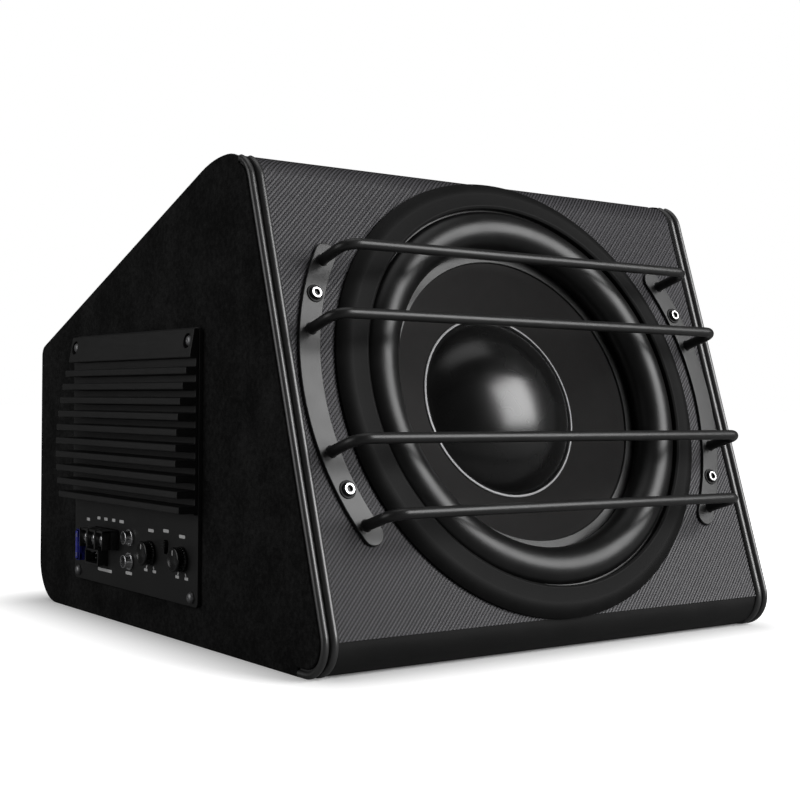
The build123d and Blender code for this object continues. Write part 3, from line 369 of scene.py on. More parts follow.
class Material:
    """A principled material, with the textures that its colour, gloss and relief come from."""

    def __init__(self, name, roughness=0.5, **settings):
        self.material = bpy.data.materials.new(name)
        self.material.use_nodes = True
        self.tree = self.material.node_tree
        self.shader = self.tree.nodes["Principled BSDF"]
        self.coordinates = self.tree.nodes.new("ShaderNodeTexCoord")
        self.shader.inputs["Roughness"].default_value = roughness
        for key, value in settings.items():
            self.shader.inputs[key.replace("_", " ")].default_value = value

    def place(self, stretch=(1, 1, 1), turn=(0, 0, 0)):
        node = self.tree.nodes.new("ShaderNodeMapping")
        node.inputs["Scale"].default_value = stretch
        node.inputs["Rotation"].default_value = [radians(a) for a in turn]
        self.tree.links.new(self.coordinates.outputs["Object"], node.inputs["Vector"])
        return node.outputs[0]

    def noise(self, size, detail=3.0, roughness=0.5, stretch=(1, 1, 1)):
        """Soft noise whose features are this many millimetres wide."""
        node = self.tree.nodes.new("ShaderNodeTexNoise")
        self.tree.links.new(self.place(stretch), node.inputs["Vector"])
        node.inputs["Scale"].default_value = 1 / (size * MM)
        node.inputs["Detail"].default_value = detail
        node.inputs["Roughness"].default_value = roughness
        return Field(self.tree, node.outputs[0])

    def cells(self, size, feature="F1"):
        node = self.tree.nodes.new("ShaderNodeTexVoronoi")
        node.feature = feature
        self.tree.links.new(self.place(), node.inputs["Vector"])
        node.inputs["Scale"].default_value = 1 / (size * MM)
        return Field(self.tree, node.outputs[0])

    def ramp(self, field, *stops):
        """A grey or a colour for each position along the field."""
        node = self.tree.nodes.new("ShaderNodeValToRGB")
        self.tree.links.new(field.socket, node.inputs[0])
        points = node.color_ramp.elements
        while len(points) < len(stops):
            points.new(0.5)
        for point, (position, colour) in zip(points, stops):
            point.position = position
            point.color = (*colour, 1) if isinstance(colour, tuple) else (colour, colour, colour, 1)
        return Field(self.tree, node.outputs[0])

    def colour(self, field):
        self.tree.links.new(field.socket, self.shader.inputs["Base Color"])
        return self

    def gloss(self, field, smooth, rough):
        node = self.tree.nodes.new("ShaderNodeMapRange")
        self.tree.links.new(field.socket, node.inputs[0])
        node.inputs["To Min"].default_value = smooth
        node.inputs["To Max"].default_value = rough
        self.tree.links.new(node.outputs[0], self.shader.inputs["Roughness"])
        return self

    def relief(self, field, depth, strength=1.0):
        """Bump whose full height is this many millimetres."""
        node = self.tree.nodes.new("ShaderNodeBump")
        node.inputs["Distance"].default_value = depth * MM
        node.inputs["Strength"].default_value = strength
        self.tree.links.new(field.socket, node.inputs["Height"])
        earlier = self.shader.inputs["Normal"].links
        if earlier:
            self.tree.links.new(earlier[0].from_socket, node.inputs["Normal"])
        self.tree.links.new(node.outputs[0], self.shader.inputs["Normal"])
        return self


def mottled(name, dark, light, roughness, grain, relief, spot=18.0, **settings):
    """Moulded, painted or cast surface: slow mottling, fine grain and uneven gloss."""
    made = Material(name, roughness, **settings)
    slow = made.noise(spot, 2.0)
    fine = made.noise(grain, 3.0, 0.6)
    made.colour(made.ramp(slow * 0.5 + fine * 0.5, (0.35, dark), (0.65, light)))
    made.gloss(slow, max(0.03, roughness - 0.06), roughness + 0.06)
    if relief:
        made.relief(fine, relief)
    return made.material


def carpet():
    made = Material("needled_felt", 0.95, Specular_IOR_Level=0.08)
    fibres = made.noise(0.5, 4.0, 0.7) + made.noise(0.35, 2.0, 0.6, (1, 0.25, 1)) * 0.6
    tufts = made.noise(2.6, 2.0, 0.6)
    patches = made.noise(26.0, 2.0)
    lift = fibres * 0.6 + tufts * 0.5
    made.colour(made.ramp(lift * 0.7 + patches * 0.3, (0.34, 0.0015), (0.60, 0.0085), (0.80, 0.028)))
    made.relief(tufts, 0.35, 0.7)
    made.relief(fibres, 0.45, 0.9)
    return made.material


WEAVE_CELL = 1.3


def carbon_vinyl():
    """A 2/2 twill, printed and pressed into vinyl: each thread passes over two and under two; its colour also
    holds painted highlight, shade and sheen on the threads.
    """
    made = Material("carbon_look_vinyl", 0.4, Specular_IOR_Level=0.3)
    tree = made.tree
    source = tree.nodes.new("ShaderNodeUVMap")
    source.uv_map = "weave"
    split = tree.nodes.new("ShaderNodeSeparateXYZ")
    tree.links.new(source.outputs[0], split.inputs[0])
    across = Field(tree, split.outputs[0]) * (1 / WEAVE_CELL)
    up = Field(tree, split.outputs[1]) * (1 / WEAVE_CELL)
    step = (across.floor() - up.floor()) % 4.0
    over = step < 1.5
    along = choose(over, up.part() - step + 1.0, across.part() + step - 2.0) * 0.5
    aside = choose(over, across.part(), up.part())
    crown = ((along * 2.0 - 1.0).size() ** 2.0).flipped()
    barrel = ((aside * 2.0 - 1.0).size() ** 4.0).flipped()
    height = crown * 0.75 + barrel * 0.25
    rib = (((across - up) * 0.5).part() * 2.0 - 1.0).size()
    band = (((across - up) * 0.25).part() * 2.0 - 1.0).size()
    patches = made.noise(30.0, 2.0)
    thread = made.noise(0.5, 2.0, 0.6)
    # Colour: the printed twill's dark lines and alternate bands, random patches and thread noise, plus painted
    # light: thread crowns lighter and the hollows between them darker, a painted highlight and shade, and floats
    # along one direction lighter than the other, a painted sheen.
    shade = (rib.flipped() * 1.5).math("MINIMUM", 1.0) * 0.5 + height * 0.24 + choose(over, 0.10, 0.02)
    shade = shade + thread * 0.08 + patches * 0.06 - (band ** 3.0) * 0.16
    made.colour(made.ramp(shade, (0.24, (0.001, 0.001, 0.0012)), (0.60, (0.030, 0.029, 0.032)),
                          (0.92, (0.088, 0.085, 0.094))))
    made.relief(height * 0.5 + rib.flipped() * 1.2, 0.22)
    made.gloss(patches, 0.34, 0.44)
    return made.material


def paper():
    made = Material("pressed_paper", 0.75, Specular_IOR_Level=0.15)
    fibres = made.noise(0.9, 4.0, 0.7, (1, 0.35, 1)) + made.noise(0.8, 4.0, 0.7, (0.35, 1, 1))
    clouds = made.noise(9.0, 3.0)
    made.colour(made.ramp(fibres * 0.3 + clouds * 0.4, (0.25, (0.0145, 0.0138, 0.0138)),
                          (0.70, (0.0200, 0.0192, 0.0190))))
    made.relief(fibres, 0.05)
    return made.material


def rubber(name, dark, light, roughness, **settings):
    made = Material(name, roughness, **settings)
    bloom = made.noise(14.0, 3.0, 0.6)
    grain = made.noise(0.35, 2.0)
    made.colour(made.ramp(bloom, (0.3, dark), (0.75, light)))
    made.gloss(bloom, roughness - 0.05, roughness + 0.07)
    made.relief(grain, 0.015)
    return made.material


def brushed(name, dark, light, roughness, stretch, metallic=1.0, grain=0.25):
    """Drawn or brushed metal: fine lines along one direction."""
    made = Material(name, roughness, Metallic=metallic)
    lines = made.noise(grain, 3.0, 0.6, stretch)
    clouds = made.noise(12.0, 2.0)
    made.colour(made.ramp(lines * 0.6 + clouds * 0.4, (0.3, dark), (0.7, light)))
    made.gloss(lines, roughness - 0.06, roughness + 0.08)
    made.relief(lines, 0.012)
    return made.material


def wood(name, dark, light, size):
    made = Material(name, 0.75)
    chips = made.noise(size, 5.0, 0.65, (1, 1, 0.4))
    made.colour(made.ramp(chips, (0.3, dark), (0.7, light)))
    made.relief(chips, 0.15)
    return made.material


def winding():
    """Enamelled wire, wound side by side: ridges square to the driver's axis."""
    made = Material("copper_wire", 0.28, Metallic=1.0)
    split = made.tree.nodes.new("ShaderNodeSeparateXYZ")
    made.tree.links.new(made.place(turn=(-degrees(FRONT_LEAN), 0, 0)), split.inputs[0])
    turns = (Field(made.tree, split.outputs[1]) * (1 / (0.5 * MM))).part()
    ridge = ((turns * 2.0 - 1.0).size() ** 2.0).flipped()
    # Dark in the grooves between turns and light on the crests: painted shade in the grooves.
    made.colour(made.ramp(ridge, (0.0, (0.20, 0.06, 0.025)), (0.6, (0.72, 0.30, 0.14))))
    made.relief(ridge, 0.2)
    return made.material


def woven_cloth(name, dark, light):
    made = Material(name, 0.9)
    threads = made.cells(0.9)
    made.colour(made.ramp(threads, (0.1, light), (0.7, dark)))
    made.relief(threads, 0.15)
    return made.material


def circuit():
    made = Material("circuit_board", 0.35, Coat_Weight=0.4)
    tracks = made.cells(6.0, "DISTANCE_TO_EDGE")
    made.colour(made.ramp(tracks, (0.0, (0.30, 0.24, 0.07)), (0.06, (0.012, 0.10, 0.035)),
                          (0.6, (0.008, 0.07, 0.022))))
    made.relief(tracks, 0.1)
    return made.material


def fuse_plastic():
    made = Material("tinted_fuse_plastic", 0.22, Transmission_Weight=0.15, IOR=1.5)
    clouds = made.noise(5.0, 2.0)
    made.colour(made.ramp(clouds, (0.3, (0.030, 0.036, 0.34)), (0.7, (0.060, 0.070, 0.56))))
    made.relief(made.noise(0.6, 2.0), 0.02)
    return made.material


MATERIALS = {
    "mdf": wood("pressed_board", (0.28, 0.17, 0.09), (0.42, 0.28, 0.16), 1.2),
    "pine": wood("planed_pine", (0.46, 0.29, 0.13), (0.66, 0.47, 0.25), 5.0),
    "wadding": mottled("polyester_wadding", 0.55, 0.80, 0.95, 1.5, 0.8, 9.0),
    "carpet": carpet(),
    "carbon_vinyl": carbon_vinyl(),
    "plain_vinyl": mottled("plain_vinyl", 0.006, 0.010, 0.55, 0.7, 0.05, Specular_IOR_Level=0.25),
    "trim": mottled("edge_piping", 0.016, 0.024, 0.38, 1.2, 0.02, 10.0, Specular_IOR_Level=1.0),
    "rubber": rubber("butyl_rubber", 0.003, 0.006, 0.36, Specular_IOR_Level=0.42),
    "gasket": rubber("moulded_gasket", 0.0035, 0.006, 0.55, Specular_IOR_Level=0.12),
    "paper_cone": paper(),
    "dust_cap": mottled("pressed_dust_cap", 0.001, 0.002, 0.27, 0.8, 0.003, 30.0, Specular_IOR_Level=0.70),
    "bright_ring": brushed("bright_ring", (0.26, 0.26, 0.265), (0.34, 0.34, 0.345), 0.52, (1, 1, 1), 0.45),
    "black_paint": mottled("powder_coat", 0.012, 0.018, 0.36, 0.45, 0.03, 14.0, Specular_IOR_Level=0.4),
    "black_oxide": mottled("black_oxide", 0.003, 0.005, 0.5, 0.5, 0.01, 10.0, Specular_IOR_Level=0.2),
    "dull_zinc": brushed("dull_zinc", (0.16, 0.16, 0.165), (0.26, 0.26, 0.265), 0.42, (1, 1, 1), 0.8),
    "bright_steel": brushed("plated_steel", (0.66, 0.66, 0.67), (0.86, 0.86, 0.87), 0.24, (1, 1, 1)),
    "steel": brushed("zinc_steel", (0.42, 0.42, 0.44), (0.62, 0.62, 0.64), 0.35, (1, 0.2, 1)),
    "ferrite": mottled("ferrite", 0.020, 0.045, 0.60, 0.6, 0.08, 6.0),
    "copper": winding(),
    "former": brushed("coil_former", (0.30, 0.16, 0.05), (0.44, 0.25, 0.09), 0.35, (1, 1, 1), 0.0),
    "spider_cloth": woven_cloth("spider_cloth", (0.30, 0.19, 0.07), (0.62, 0.45, 0.22)),
    "anodised": brushed("anodised_extrusion", 0.016, 0.026, 0.42, (1, 0.03, 1), 0.35, 0.6),
    "panel": mottled("painted_panel", 0.012, 0.017, 0.45, 0.5, 0.02, 22.0, Specular_IOR_Level=0.3),
    "black_plastic": mottled("moulded_plastic", 0.007, 0.014, 0.38, 0.5, 0.03, 8.0),
    "knob": mottled("glossy_knob", 0.004, 0.007, 0.20, 0.5, 0.01, 6.0),
    "circuit": circuit(),
    "capacitor": mottled("shrink_sleeve", (0.012, 0.016, 0.07), (0.02, 0.03, 0.12), 0.3, 1.0, 0.02),
    "fuse_blue": fuse_plastic(),
}
ink = mottled("white_ink", 0.62, 0.80, 0.55, 0.4, 0.01, 4.0)

slots = {part["node"]: part["material_slot"] for part in frame["record"]["subparts"]}
for name, slot in slots.items():
    nodes[name].data.materials.clear()
    nodes[name].data.materials.append(MATERIALS[slot])


def finish_of(slot):
    return {"material": MATERIALS[slot], "slot": slot}


def in_place_of(*replaced, body="enclosure"):
    """The finish and the body of the CAD nodes that a piece stands for."""
    return {**finish_of(slots[replaced[0]]), "replaces": replaced, "body": body}


# ---- Carpets: cut to the CAD's own outlines, with soft edges ----
FELT_EDGE = 1.1
FLAT = 0.01


def outlines_at(node, x):
    """The closed outlines, in (y, z), of the flat face that a CAD node has at this x, the largest first."""
    mesh = bmesh.new()
    mesh.from_mesh(nodes[node].data)
    bmesh.ops.remove_doubles(mesh, verts=mesh.verts, dist=WELDED)
    flat = [f for f in mesh.faces if all(abs(v.co.x / MM - x) < FLAT for v in f.verts)]
    inside = set(flat)
    ahead = {}
    for face in flat:
        for loop in face.loops:
            if not any(f in inside for f in loop.edge.link_faces if f is not face):
                ahead[loop.vert] = loop.link_loop_next.vert
    found = []
    while ahead:
        start, here = ahead.popitem()
        outline = [start]
        while here is not start:
            outline.append(here)
            here = ahead.pop(here)
        found.append([(v.co.y / MM, v.co.z / MM) for v in outline])
    mesh.free()
    return sorted(found, key=lambda outline: -abs(signed_area(outline)))


def felt(node, side):
    """A carpet of one thickness across X, whose outline shows on its face at that side."""
    low, high = corners(node)
    outlines = outlines_at(node, high[0] if side > 0 else low[0])
    place = placed((0, 1, 0), (0, 0, 1), (1, 0, 0), (0, 0, 0))
    piece = Shape().plate(outlines, low[0], high[0], FELT_EDGE, place).make(
        f"{node}_felt", **in_place_of(node))
    weigh_normals(piece)


felt("left_side_carpet", -1)
felt("right_side_carpet", 1)
felt("rear_carpet", 1)

# ---- Front vinyl: the leaning face round the driver's hole, then over the brow ----
VINYL = 1.0
BROW_RADIUS = 17.0
vinyl_high = corners("front_vinyl")[1]
VINYL_HALF_WIDTH = vinyl_high[0]
VINYL_TOP = vinyl_high[2]
HOLE_RADIUS = 117.5
SIDE_STEPS, RING_STEPS, BROW_STEPS = 48, 6, 16
driver_up = CENTRE.z / cos(FRONT_LEAN)
foot_y = CENTRE.y - driver_up * sin(FRONT_LEAN)
seam_up = spread("front_vinyl", UP)[0] - Vector((0, foot_y, 0)).dot(UP)
brow_turn = pi / 2 - FRONT_LEAN
brow_start = VINYL_TOP / cos(FRONT_LEAN) - BROW_RADIUS * tan(brow_turn / 2)
brow_end = brow_start + BROW_RADIUS * brow_turn


def up_the_front(x, up):
    """A point on the vinyl, this far up from the foot along its surface."""
    flat = min(up, brow_start)
    y, z = foot_y + flat * sin(FRONT_LEAN), flat * cos(FRONT_LEAN)
    if up > brow_start:
        turn = min(up - brow_start, brow_end - brow_start) / BROW_RADIUS
        y += BROW_RADIUS * (cos(FRONT_LEAN) - cos(FRONT_LEAN + turn))
        z += BROW_RADIUS * (sin(FRONT_LEAN + turn) - sin(FRONT_LEAN))
        y += max(0, up - brow_end)
    return x, y, z


def vinyl_piece():
    shape = Shape()
    reach_up, reach_down = brow_start - driver_up, driver_up - seam_up
    turns = [atan2(v, u) for u, v in (
        (VINYL_HALF_WIDTH, reach_up), (-VINYL_HALF_WIDTH, reach_up),
        (-VINYL_HALF_WIDTH, -reach_down), (VINYL_HALF_WIDTH, -reach_down))]
    turns[2:] = [t + 2 * pi for t in turns[2:]]
    turns.append(turns[0] + 2 * pi)
    directions = []
    for first, last in zip(turns, turns[1:]):
        directions += [first + (last - first) * k / SIDE_STEPS for k in range(SIDE_STEPS)]
    rings = []
    for share in [k / RING_STEPS for k in range(RING_STEPS + 1)]:
        ring = []
        for a in directions:
            limit = reach_up if sin(a) > 0 else reach_down
            edge = min(VINYL_HALF_WIDTH / max(abs(cos(a)), 1e-9), limit / max(abs(sin(a)), 1e-9))
            radius = HOLE_RADIUS + (edge - HOLE_RADIUS) * share
            ring.append((radius * cos(a), driver_up + radius * sin(a)))
        rings.append(ring)
    shape.grid([[up_the_front(*p) for p in ring] for ring in rings], closed_rows=True)
    shape.weave += [p for ring in rings for p in ring]
    columns = [x for x, up in rings[-1][:SIDE_STEPS + 1]]
    top_end = brow_end + vinyl_high[1] - up_the_front(0, brow_end)[1]
    rows = [brow_start + (brow_end - brow_start) * k / BROW_STEPS for k in range(BROW_STEPS + 1)]
    rows.append(top_end)
    shape.grid([[up_the_front(x, up) for x in columns] for up in rows])
    shape.weave += [(x, up) for up in rows for x in columns]
    piece = shape.make("carbon_vinyl_front", **in_place_of("front_vinyl"))
    solid = piece.modifiers.new("thickness", "SOLIDIFY")
    solid.thickness = VINYL * MM
    solid.offset = -1
    settle(piece)
    sharpen(piece)
    weigh_normals(piece)


vinyl_piece()

# ---- Edge trim: two beads on one web, swept under the foot, up the front and over the brow ----
OUTER_BEAD_X, OUTER_BEAD = 166.0, 2.0
INNER_BEAD_X, INNER_BEAD = 160.3, 2.4
BEAD_HEIGHT = 2.2
WEB_TOP, WEB_BACK = 0.8, 2.8
TRIM_FOOT_RADIUS, TRIM_BROW_RADIUS, TRIM_TOP_TURN = 17.0, 18.0, 54.0
TRIM_UNDER_LENGTH, TRIM_TOP_RISE = 29.0, 1.3
BEAD_STEPS, FOOT_STEPS, TOP_STEPS = 28, 24, 20
TRIM_CREASE = 50


def trim_section(side):
    """The two beads and the web behind them, as (x, depth into the box)."""
    sink = INNER_BEAD - OUTER_BEAD
    outer_join = degrees(atan2(WEB_TOP, -sqrt(OUTER_BEAD**2 - WEB_TOP**2)))
    inner_join = degrees(atan2(WEB_TOP - sink, sqrt(INNER_BEAD**2 - (WEB_TOP - sink) ** 2)))
    points = [(OUTER_BEAD_X, WEB_BACK)]
    points += arc((OUTER_BEAD_X, 0), OUTER_BEAD, 90, outer_join - 360, BEAD_STEPS)
    points += arc((INNER_BEAD_X, sink), INNER_BEAD, inner_join, -270, BEAD_STEPS)
    return [(side * x, depth) for x, depth in points]


def trim_path():
    gap = OUTER_BEAD - BEAD_HEIGHT

    def on_front(z):
        return foot_y + gap / cos(FRONT_LEAN) + z * tan(FRONT_LEAN)

    low = OUTER_BEAD
    brow = VINYL_TOP + TRIM_TOP_RISE - OUTER_BEAD
    high = brow - TRIM_BROW_RADIUS * tan((pi / 2 - FRONT_LEAN) / 2) * cos(FRONT_LEAN)
    path = rounded([(on_front(low) + TRIM_UNDER_LENGTH, low), (on_front(low), low, TRIM_FOOT_RADIUS),
                    (on_front(high), high)], FOOT_STEPS, closed=False)
    facing = 180 - degrees(FRONT_LEAN)
    middle = (on_front(high) - TRIM_BROW_RADIUS * cos(radians(facing)),
              high - TRIM_BROW_RADIUS * sin(radians(facing)))
    return path + arc(middle, TRIM_BROW_RADIUS, facing, facing - TRIM_TOP_TURN, TOP_STEPS)[1:]


for side, side_name in ((-1, "left"), (1, "right")):
    piping = Shape().swept(trim_path(), trim_section(side), lambda aside, y, z: (aside, y, z))
    piping.make(f"{side_name}_piping", **in_place_of(f"{side_name}_edge_trim"), crease=TRIM_CREASE)

# ---- Driver ----
GASKET_FOOT = [(115, 3.5), (118.2, 3.5), (118.2, 2.5), (131.2, 2.5), (131.2, 0), (133, 0)]
GASKET_EDGE, GASKET_SHOULDER, GASKET_CROWN = (133, 1.6), (129.5, 4.3), (124, 5.7)
GASKET_LIP = [(116.6, 7.4, 0.9), (115, 6.4, 0.6), (115, 3.5)]
SURROUND_OUTER, SURROUND_INNER, SURROUND_LIP = 114.2, 92.5, 118.0
SURROUND_SEAT, SURROUND_TOP, SURROUND_FOOT = 2.5, 3.5, -8.3
ROLL_TOP, ROLL_UNDER, ROLL_INSIDE = (101.5, 8.9), (101.8, 7.9), (93.6, 113.2)
CONE_EDGE, CONE_EDGE_HEIGHT, CONE_SLOPE, CONE_WALL, CONE_NECK = 86.0, -9.3, 0.546, 1.3, 25.4
CONE_RIM = 91.0
CAP_RADIUS, CAP_TOP, CAP_WALL, CAP_RING = 54.8, -2.0, 1.0, 56.4


def cone_top(radius):
    return CONE_EDGE_HEIGHT - (CONE_EDGE - radius) * CONE_SLOPE


def gasket_ring():
    outline = GASKET_FOOT + arc_through(GASKET_EDGE, GASKET_SHOULDER, GASKET_CROWN, 12)
    outline += rounded([GASKET_CROWN, *GASKET_LIP], 5, closed=False)[1:-1]
    Shape().turned(outline, on_driver(), segments=256).make(
        "gasket_moulding", **in_place_of("driver_gasket_ring"))


SECTORS = 16


def bending_ring(name, outline, node, still, moving):
    """A turned ring in sectors, each made as a piece of its own."""
    sector = 360 / SECTORS
    for k in range(SECTORS):
        middle = radians(sector * k)
        radial = Vector((1, 0, 0)) * cos(middle) + UP * sin(middle)
        shape = Shape().turned(outline, on_driver(), segments=36, start=sector * (k - 0.5), sweep=sector)
        piece = shape.make(f"{name}_sector_{k + 1:02d}", **finish_of(slots[node]), ride=False)
        if k == 0:
            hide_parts(node)
        (CENTRE + radial * still) * MM
        (CENTRE + radial * moving) * MM
        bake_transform(piece)


def surround():
    """A rubber half roll between the frame and the cone."""
    outside = arc_through((SURROUND_OUTER, SURROUND_TOP), ROLL_TOP, (SURROUND_INNER, SURROUND_FOOT), 30)
    inside = arc_through((ROLL_INSIDE[0], CONE_EDGE_HEIGHT), ROLL_UNDER, (ROLL_INSIDE[1], SURROUND_SEAT), 24)
    glued = [(CONE_EDGE + 0.4, SURROUND_FOOT), (CONE_EDGE, SURROUND_FOOT - 0.4),
             (CONE_EDGE, CONE_EDGE_HEIGHT)]
    outline = outside + glued + inside + [(SURROUND_LIP, SURROUND_SEAT), (SURROUND_LIP, SURROUND_TOP)]
    bending_ring("surround", outline, "surround", SURROUND_OUTER - 1, SURROUND_INNER + 0.5)


SPIDER_HEIGHT, SPIDER_OUTER, SPIDER_WALL = -52.0, 66.0, 0.8
WAVES, WAVE, WAVES_FROM, WAVES_TO = 4, 1.4, 31.0, 60.0
SPIDER_STILL, SPIDER_MOVING = 61.0, 27.0


def spider():
    """Corrugated cloth, glued to the former inside and to the basket's ledge outside."""
    radii = np.linspace(WAVES_FROM, WAVES_TO, 16 * WAVES + 1)
    turns = 2 * pi * WAVES * (radii - WAVES_FROM) / (WAVES_TO - WAVES_FROM)
    crests = list(zip(radii, SPIDER_HEIGHT + WAVE * (1 - np.cos(turns)) / 2))
    upper = [(CONE_NECK, SPIDER_HEIGHT), *crests, (SPIDER_OUTER, SPIDER_HEIGHT)]
    lower = [(radius, height - SPIDER_WALL) for radius, height in reversed(upper)]
    bending_ring("spider", upper + lower, "spider", SPIDER_STILL, SPIDER_MOVING)


def diaphragm():
    outline = [(CONE_RIM, CONE_EDGE_HEIGHT), (CONE_EDGE + 0.6, CONE_EDGE_HEIGHT)]
    outline += [(r, cone_top(r)) for r in np.linspace(CONE_EDGE - 0.4, CONE_NECK, 14)]
    outline += [(CONE_NECK, cone_top(CONE_NECK) - 1.5 * CONE_WALL)]
    outline += [(CONE_EDGE + 0.3, CONE_EDGE_HEIGHT - CONE_WALL), (CONE_RIM, CONE_EDGE_HEIGHT - CONE_WALL)]
    Shape().turned(outline, on_driver(), segments=192).make(
        "paper_diaphragm", **in_place_of("cone", body="cone"))


def dust_cap():
    rise = CAP_TOP - cone_top(CAP_RADIUS)
    sphere = (CAP_RADIUS**2 + rise**2) / (2 * rise)
    middle = CAP_TOP - sphere
    half = degrees(atan2(CAP_RADIUS, sphere - rise))
    outside = arc((0, middle), sphere, 90 - half, 90, 40)
    inside = arc((0, middle), sphere - CAP_WALL, 90, 90 - half, 30)
    Shape().turned(outside + inside, on_driver(), segments=192).make(
        "dust_cap_dome", **in_place_of("dust_cap", body="cone"))
    inner = CAP_RADIUS + 0.2
    low = cone_top(inner)
    outline = rounded([(inner, low), (CAP_RING, cone_top(CAP_RING)), (CAP_RING - 0.1, low + 1.6, 0.25),
                       (inner, low + 1.9, 0.25)], 6)
    Shape().turned(outline, on_driver(), segments=256).make(
        "cap_trim_ring", **in_place_of("dust_cap_ring", body="cone"))


gasket_ring()
surround()
spider()
diaphragm()
dust_cap()

# ---- Guard ----
GUARD_RADIUS, GUARD_WIDTH, GUARD_PLATE, GUARD_HALF_ANGLE = 149.4, 13.4, 2.0, 31.6
GUARD_SCREW_X, GUARD_SCREW_UP, GUARD_HOLE, PLATE_EDGE = 138.9, 54.4, 2.1, 0.6
BAR_RADIUS, BAR_HEIGHT, BAR_BEND = 3.0, 27.5, 9.0
BARS = {"1": (74.0, 131.0), "2": (34.0, 145.0), "3": (-34.0, 145.0), "4": (-74.0, 131.0)}
WELD = 0.7


def guard_plate(side, side_name):
    low, high = -GUARD_HALF_ANGLE, GUARD_HALF_ANGLE
    half = GUARD_WIDTH / 2
    outline = arc((0, 0), GUARD_RADIUS + half, low, high, 40)
    for end, turn in ((high, 0), (low, 180)):
        tip = (GUARD_RADIUS * cos(radians(end)), GUARD_RADIUS * sin(radians(end)))
        outline += arc(tip, half, end + turn, end + turn + 180, 18)[1:-1]
        if end == high:
            outline += arc((0, 0), GUARD_RADIUS - half, high, low, 40)
    holes = [circle(GUARD_HOLE, (GUARD_SCREW_X, s * GUARD_SCREW_UP)) for s in (-1, 1)]
    outlines = [[(side * x, y) for x, y in loop] for loop in [outline, *holes]]
    piece = Shape().plate(outlines, 0, GUARD_PLATE, PLATE_EDGE, on_driver()).make(
        f"{side_name}_guard_plate", **in_place_of(f"guard_plate_{side_name}"))
    weigh_normals(piece)


def guard_bar(number):
    up, reach = BARS[number]
    path = rounded([(-reach, GUARD_PLATE), (-reach, BAR_HEIGHT, BAR_BEND), (reach, BAR_HEIGHT, BAR_BEND),
                    (reach, GUARD_PLATE)], 16, closed=False)

    def to_space(aside, x, height):
        return CENTRE + Vector((x, 0, 0)) + UP * (up + aside) + NORMAL * height

    shape = Shape().swept(path, circle(BAR_RADIUS, steps=32), to_space)
    weld = [(BAR_RADIUS - 0.2, WELD), (BAR_RADIUS, WELD)]
    weld += arc((BAR_RADIUS + WELD, WELD), WELD, 180, 270, 6)[1:]
    weld += [(BAR_RADIUS - 0.2, 0)]
    for side in (-1, 1):
        shape.turned(weld, on_driver(side * reach, up, GUARD_PLATE), segments=40)
    shape.make(f"guard_rod_{number}", **in_place_of(f"guard_bar_{number}"))


for side, side_name in ((-1, "left"), (1, "right")):
    guard_plate(side, side_name)
for number in BARS:
    guard_bar(number)

# ---- Amplifier plate and heat sink ----
PANEL_SCREW_Y, PANEL_SCREW_Z = (-46.2, 111.8), (27.5, 174.0)
SINK_BASE = 2.0
FINS, FIN_TOP, FIN_PITCH, FIN = 10, 157.0, 8.78, 4.2
FIN_REACH, FIN_WIDEST_Z, FIN_ARC, FIN_ROUND = 17.1, 108.0, 190.0, 0.9
BLOCK_BOTTOM, BLOCK_REACH_LOW, BLOCK_REACH_HIGH, BLOCK_ROUND = 164.3, 8.6, 5.6, 0.8
SINK_EDGE, SCREW_ACCESS, ACCESS_TOP = 0.35, 4.4, 12.0
sink_low, sink_high = corners("heat_sink")


def cut(piece, cutter):
    """Takes a closed shape out of a piece."""
    other = bpy.data.objects.new("cutter", bpy.data.meshes.new("cutter"))
    other.data.from_pydata([p * MM for p in cutter.points], [], cutter.faces)
    tidy = bmesh.new()
    tidy.from_mesh(other.data)
    bmesh.ops.remove_doubles(tidy, verts=tidy.verts, dist=WELDED)
    bmesh.ops.recalc_face_normals(tidy, faces=tidy.faces)
    tidy.to_mesh(other.data)
    tidy.free()
    link(other)
    boolean = piece.modifiers.new("cut", "BOOLEAN")
    boolean.operation = "DIFFERENCE"
    boolean.solver = "EXACT"
    boolean.object = other
    settle(piece)
    bpy.data.objects.remove(other)
    return piece


def heat_sink():
    """One extrusion along Y, drawn as (reach, z): base, ten fins with round tips, and the top block."""
    base = PANEL + SINK_BASE
    outline = [(PANEL, sink_high[2]), (PANEL, sink_low[2]), (base, sink_low[2])]
    for k in reversed(range(FINS)):
        z = FIN_TOP - k * FIN_PITCH
        reach = FIN_REACH - (z - FIN_WIDEST_Z) ** 2 / (2 * FIN_ARC)
        outline += [(x, z + side * FIN / 2, FIN_ROUND)
                    for x, side in ((base, -1), (reach, -1), (reach, 1), (base, 1))]
    outline += [(base, BLOCK_BOTTOM, BLOCK_ROUND), (BLOCK_REACH_LOW, BLOCK_BOTTOM, BLOCK_ROUND),
                (BLOCK_REACH_HIGH, sink_high[2], BLOCK_ROUND)]
    place = placed((-1, 0, 0), (0, 0, 1), (0, 1, 0), (SIDE_X, 0, 0))
    shape = Shape().plate([rounded(outline, 4)], sink_low[1], sink_high[1], SINK_EDGE, place)
    piece = shape.make("finned_heat_sink", **in_place_of("heat_sink"))
    for y in PANEL_SCREW_Y:
        walls = [(0, SINK_BASE), (SCREW_ACCESS, SINK_BASE), (SCREW_ACCESS, ACCESS_TOP), (0, ACCESS_TOP)]
        recess = Shape().turned(walls, on_side(y, PANEL_SCREW_Z[1], PANEL), closed=False, segments=48)
        cut(piece, recess)
    piece.data.shade_smooth()
    sharpen(piece)
    weigh_normals(piece)


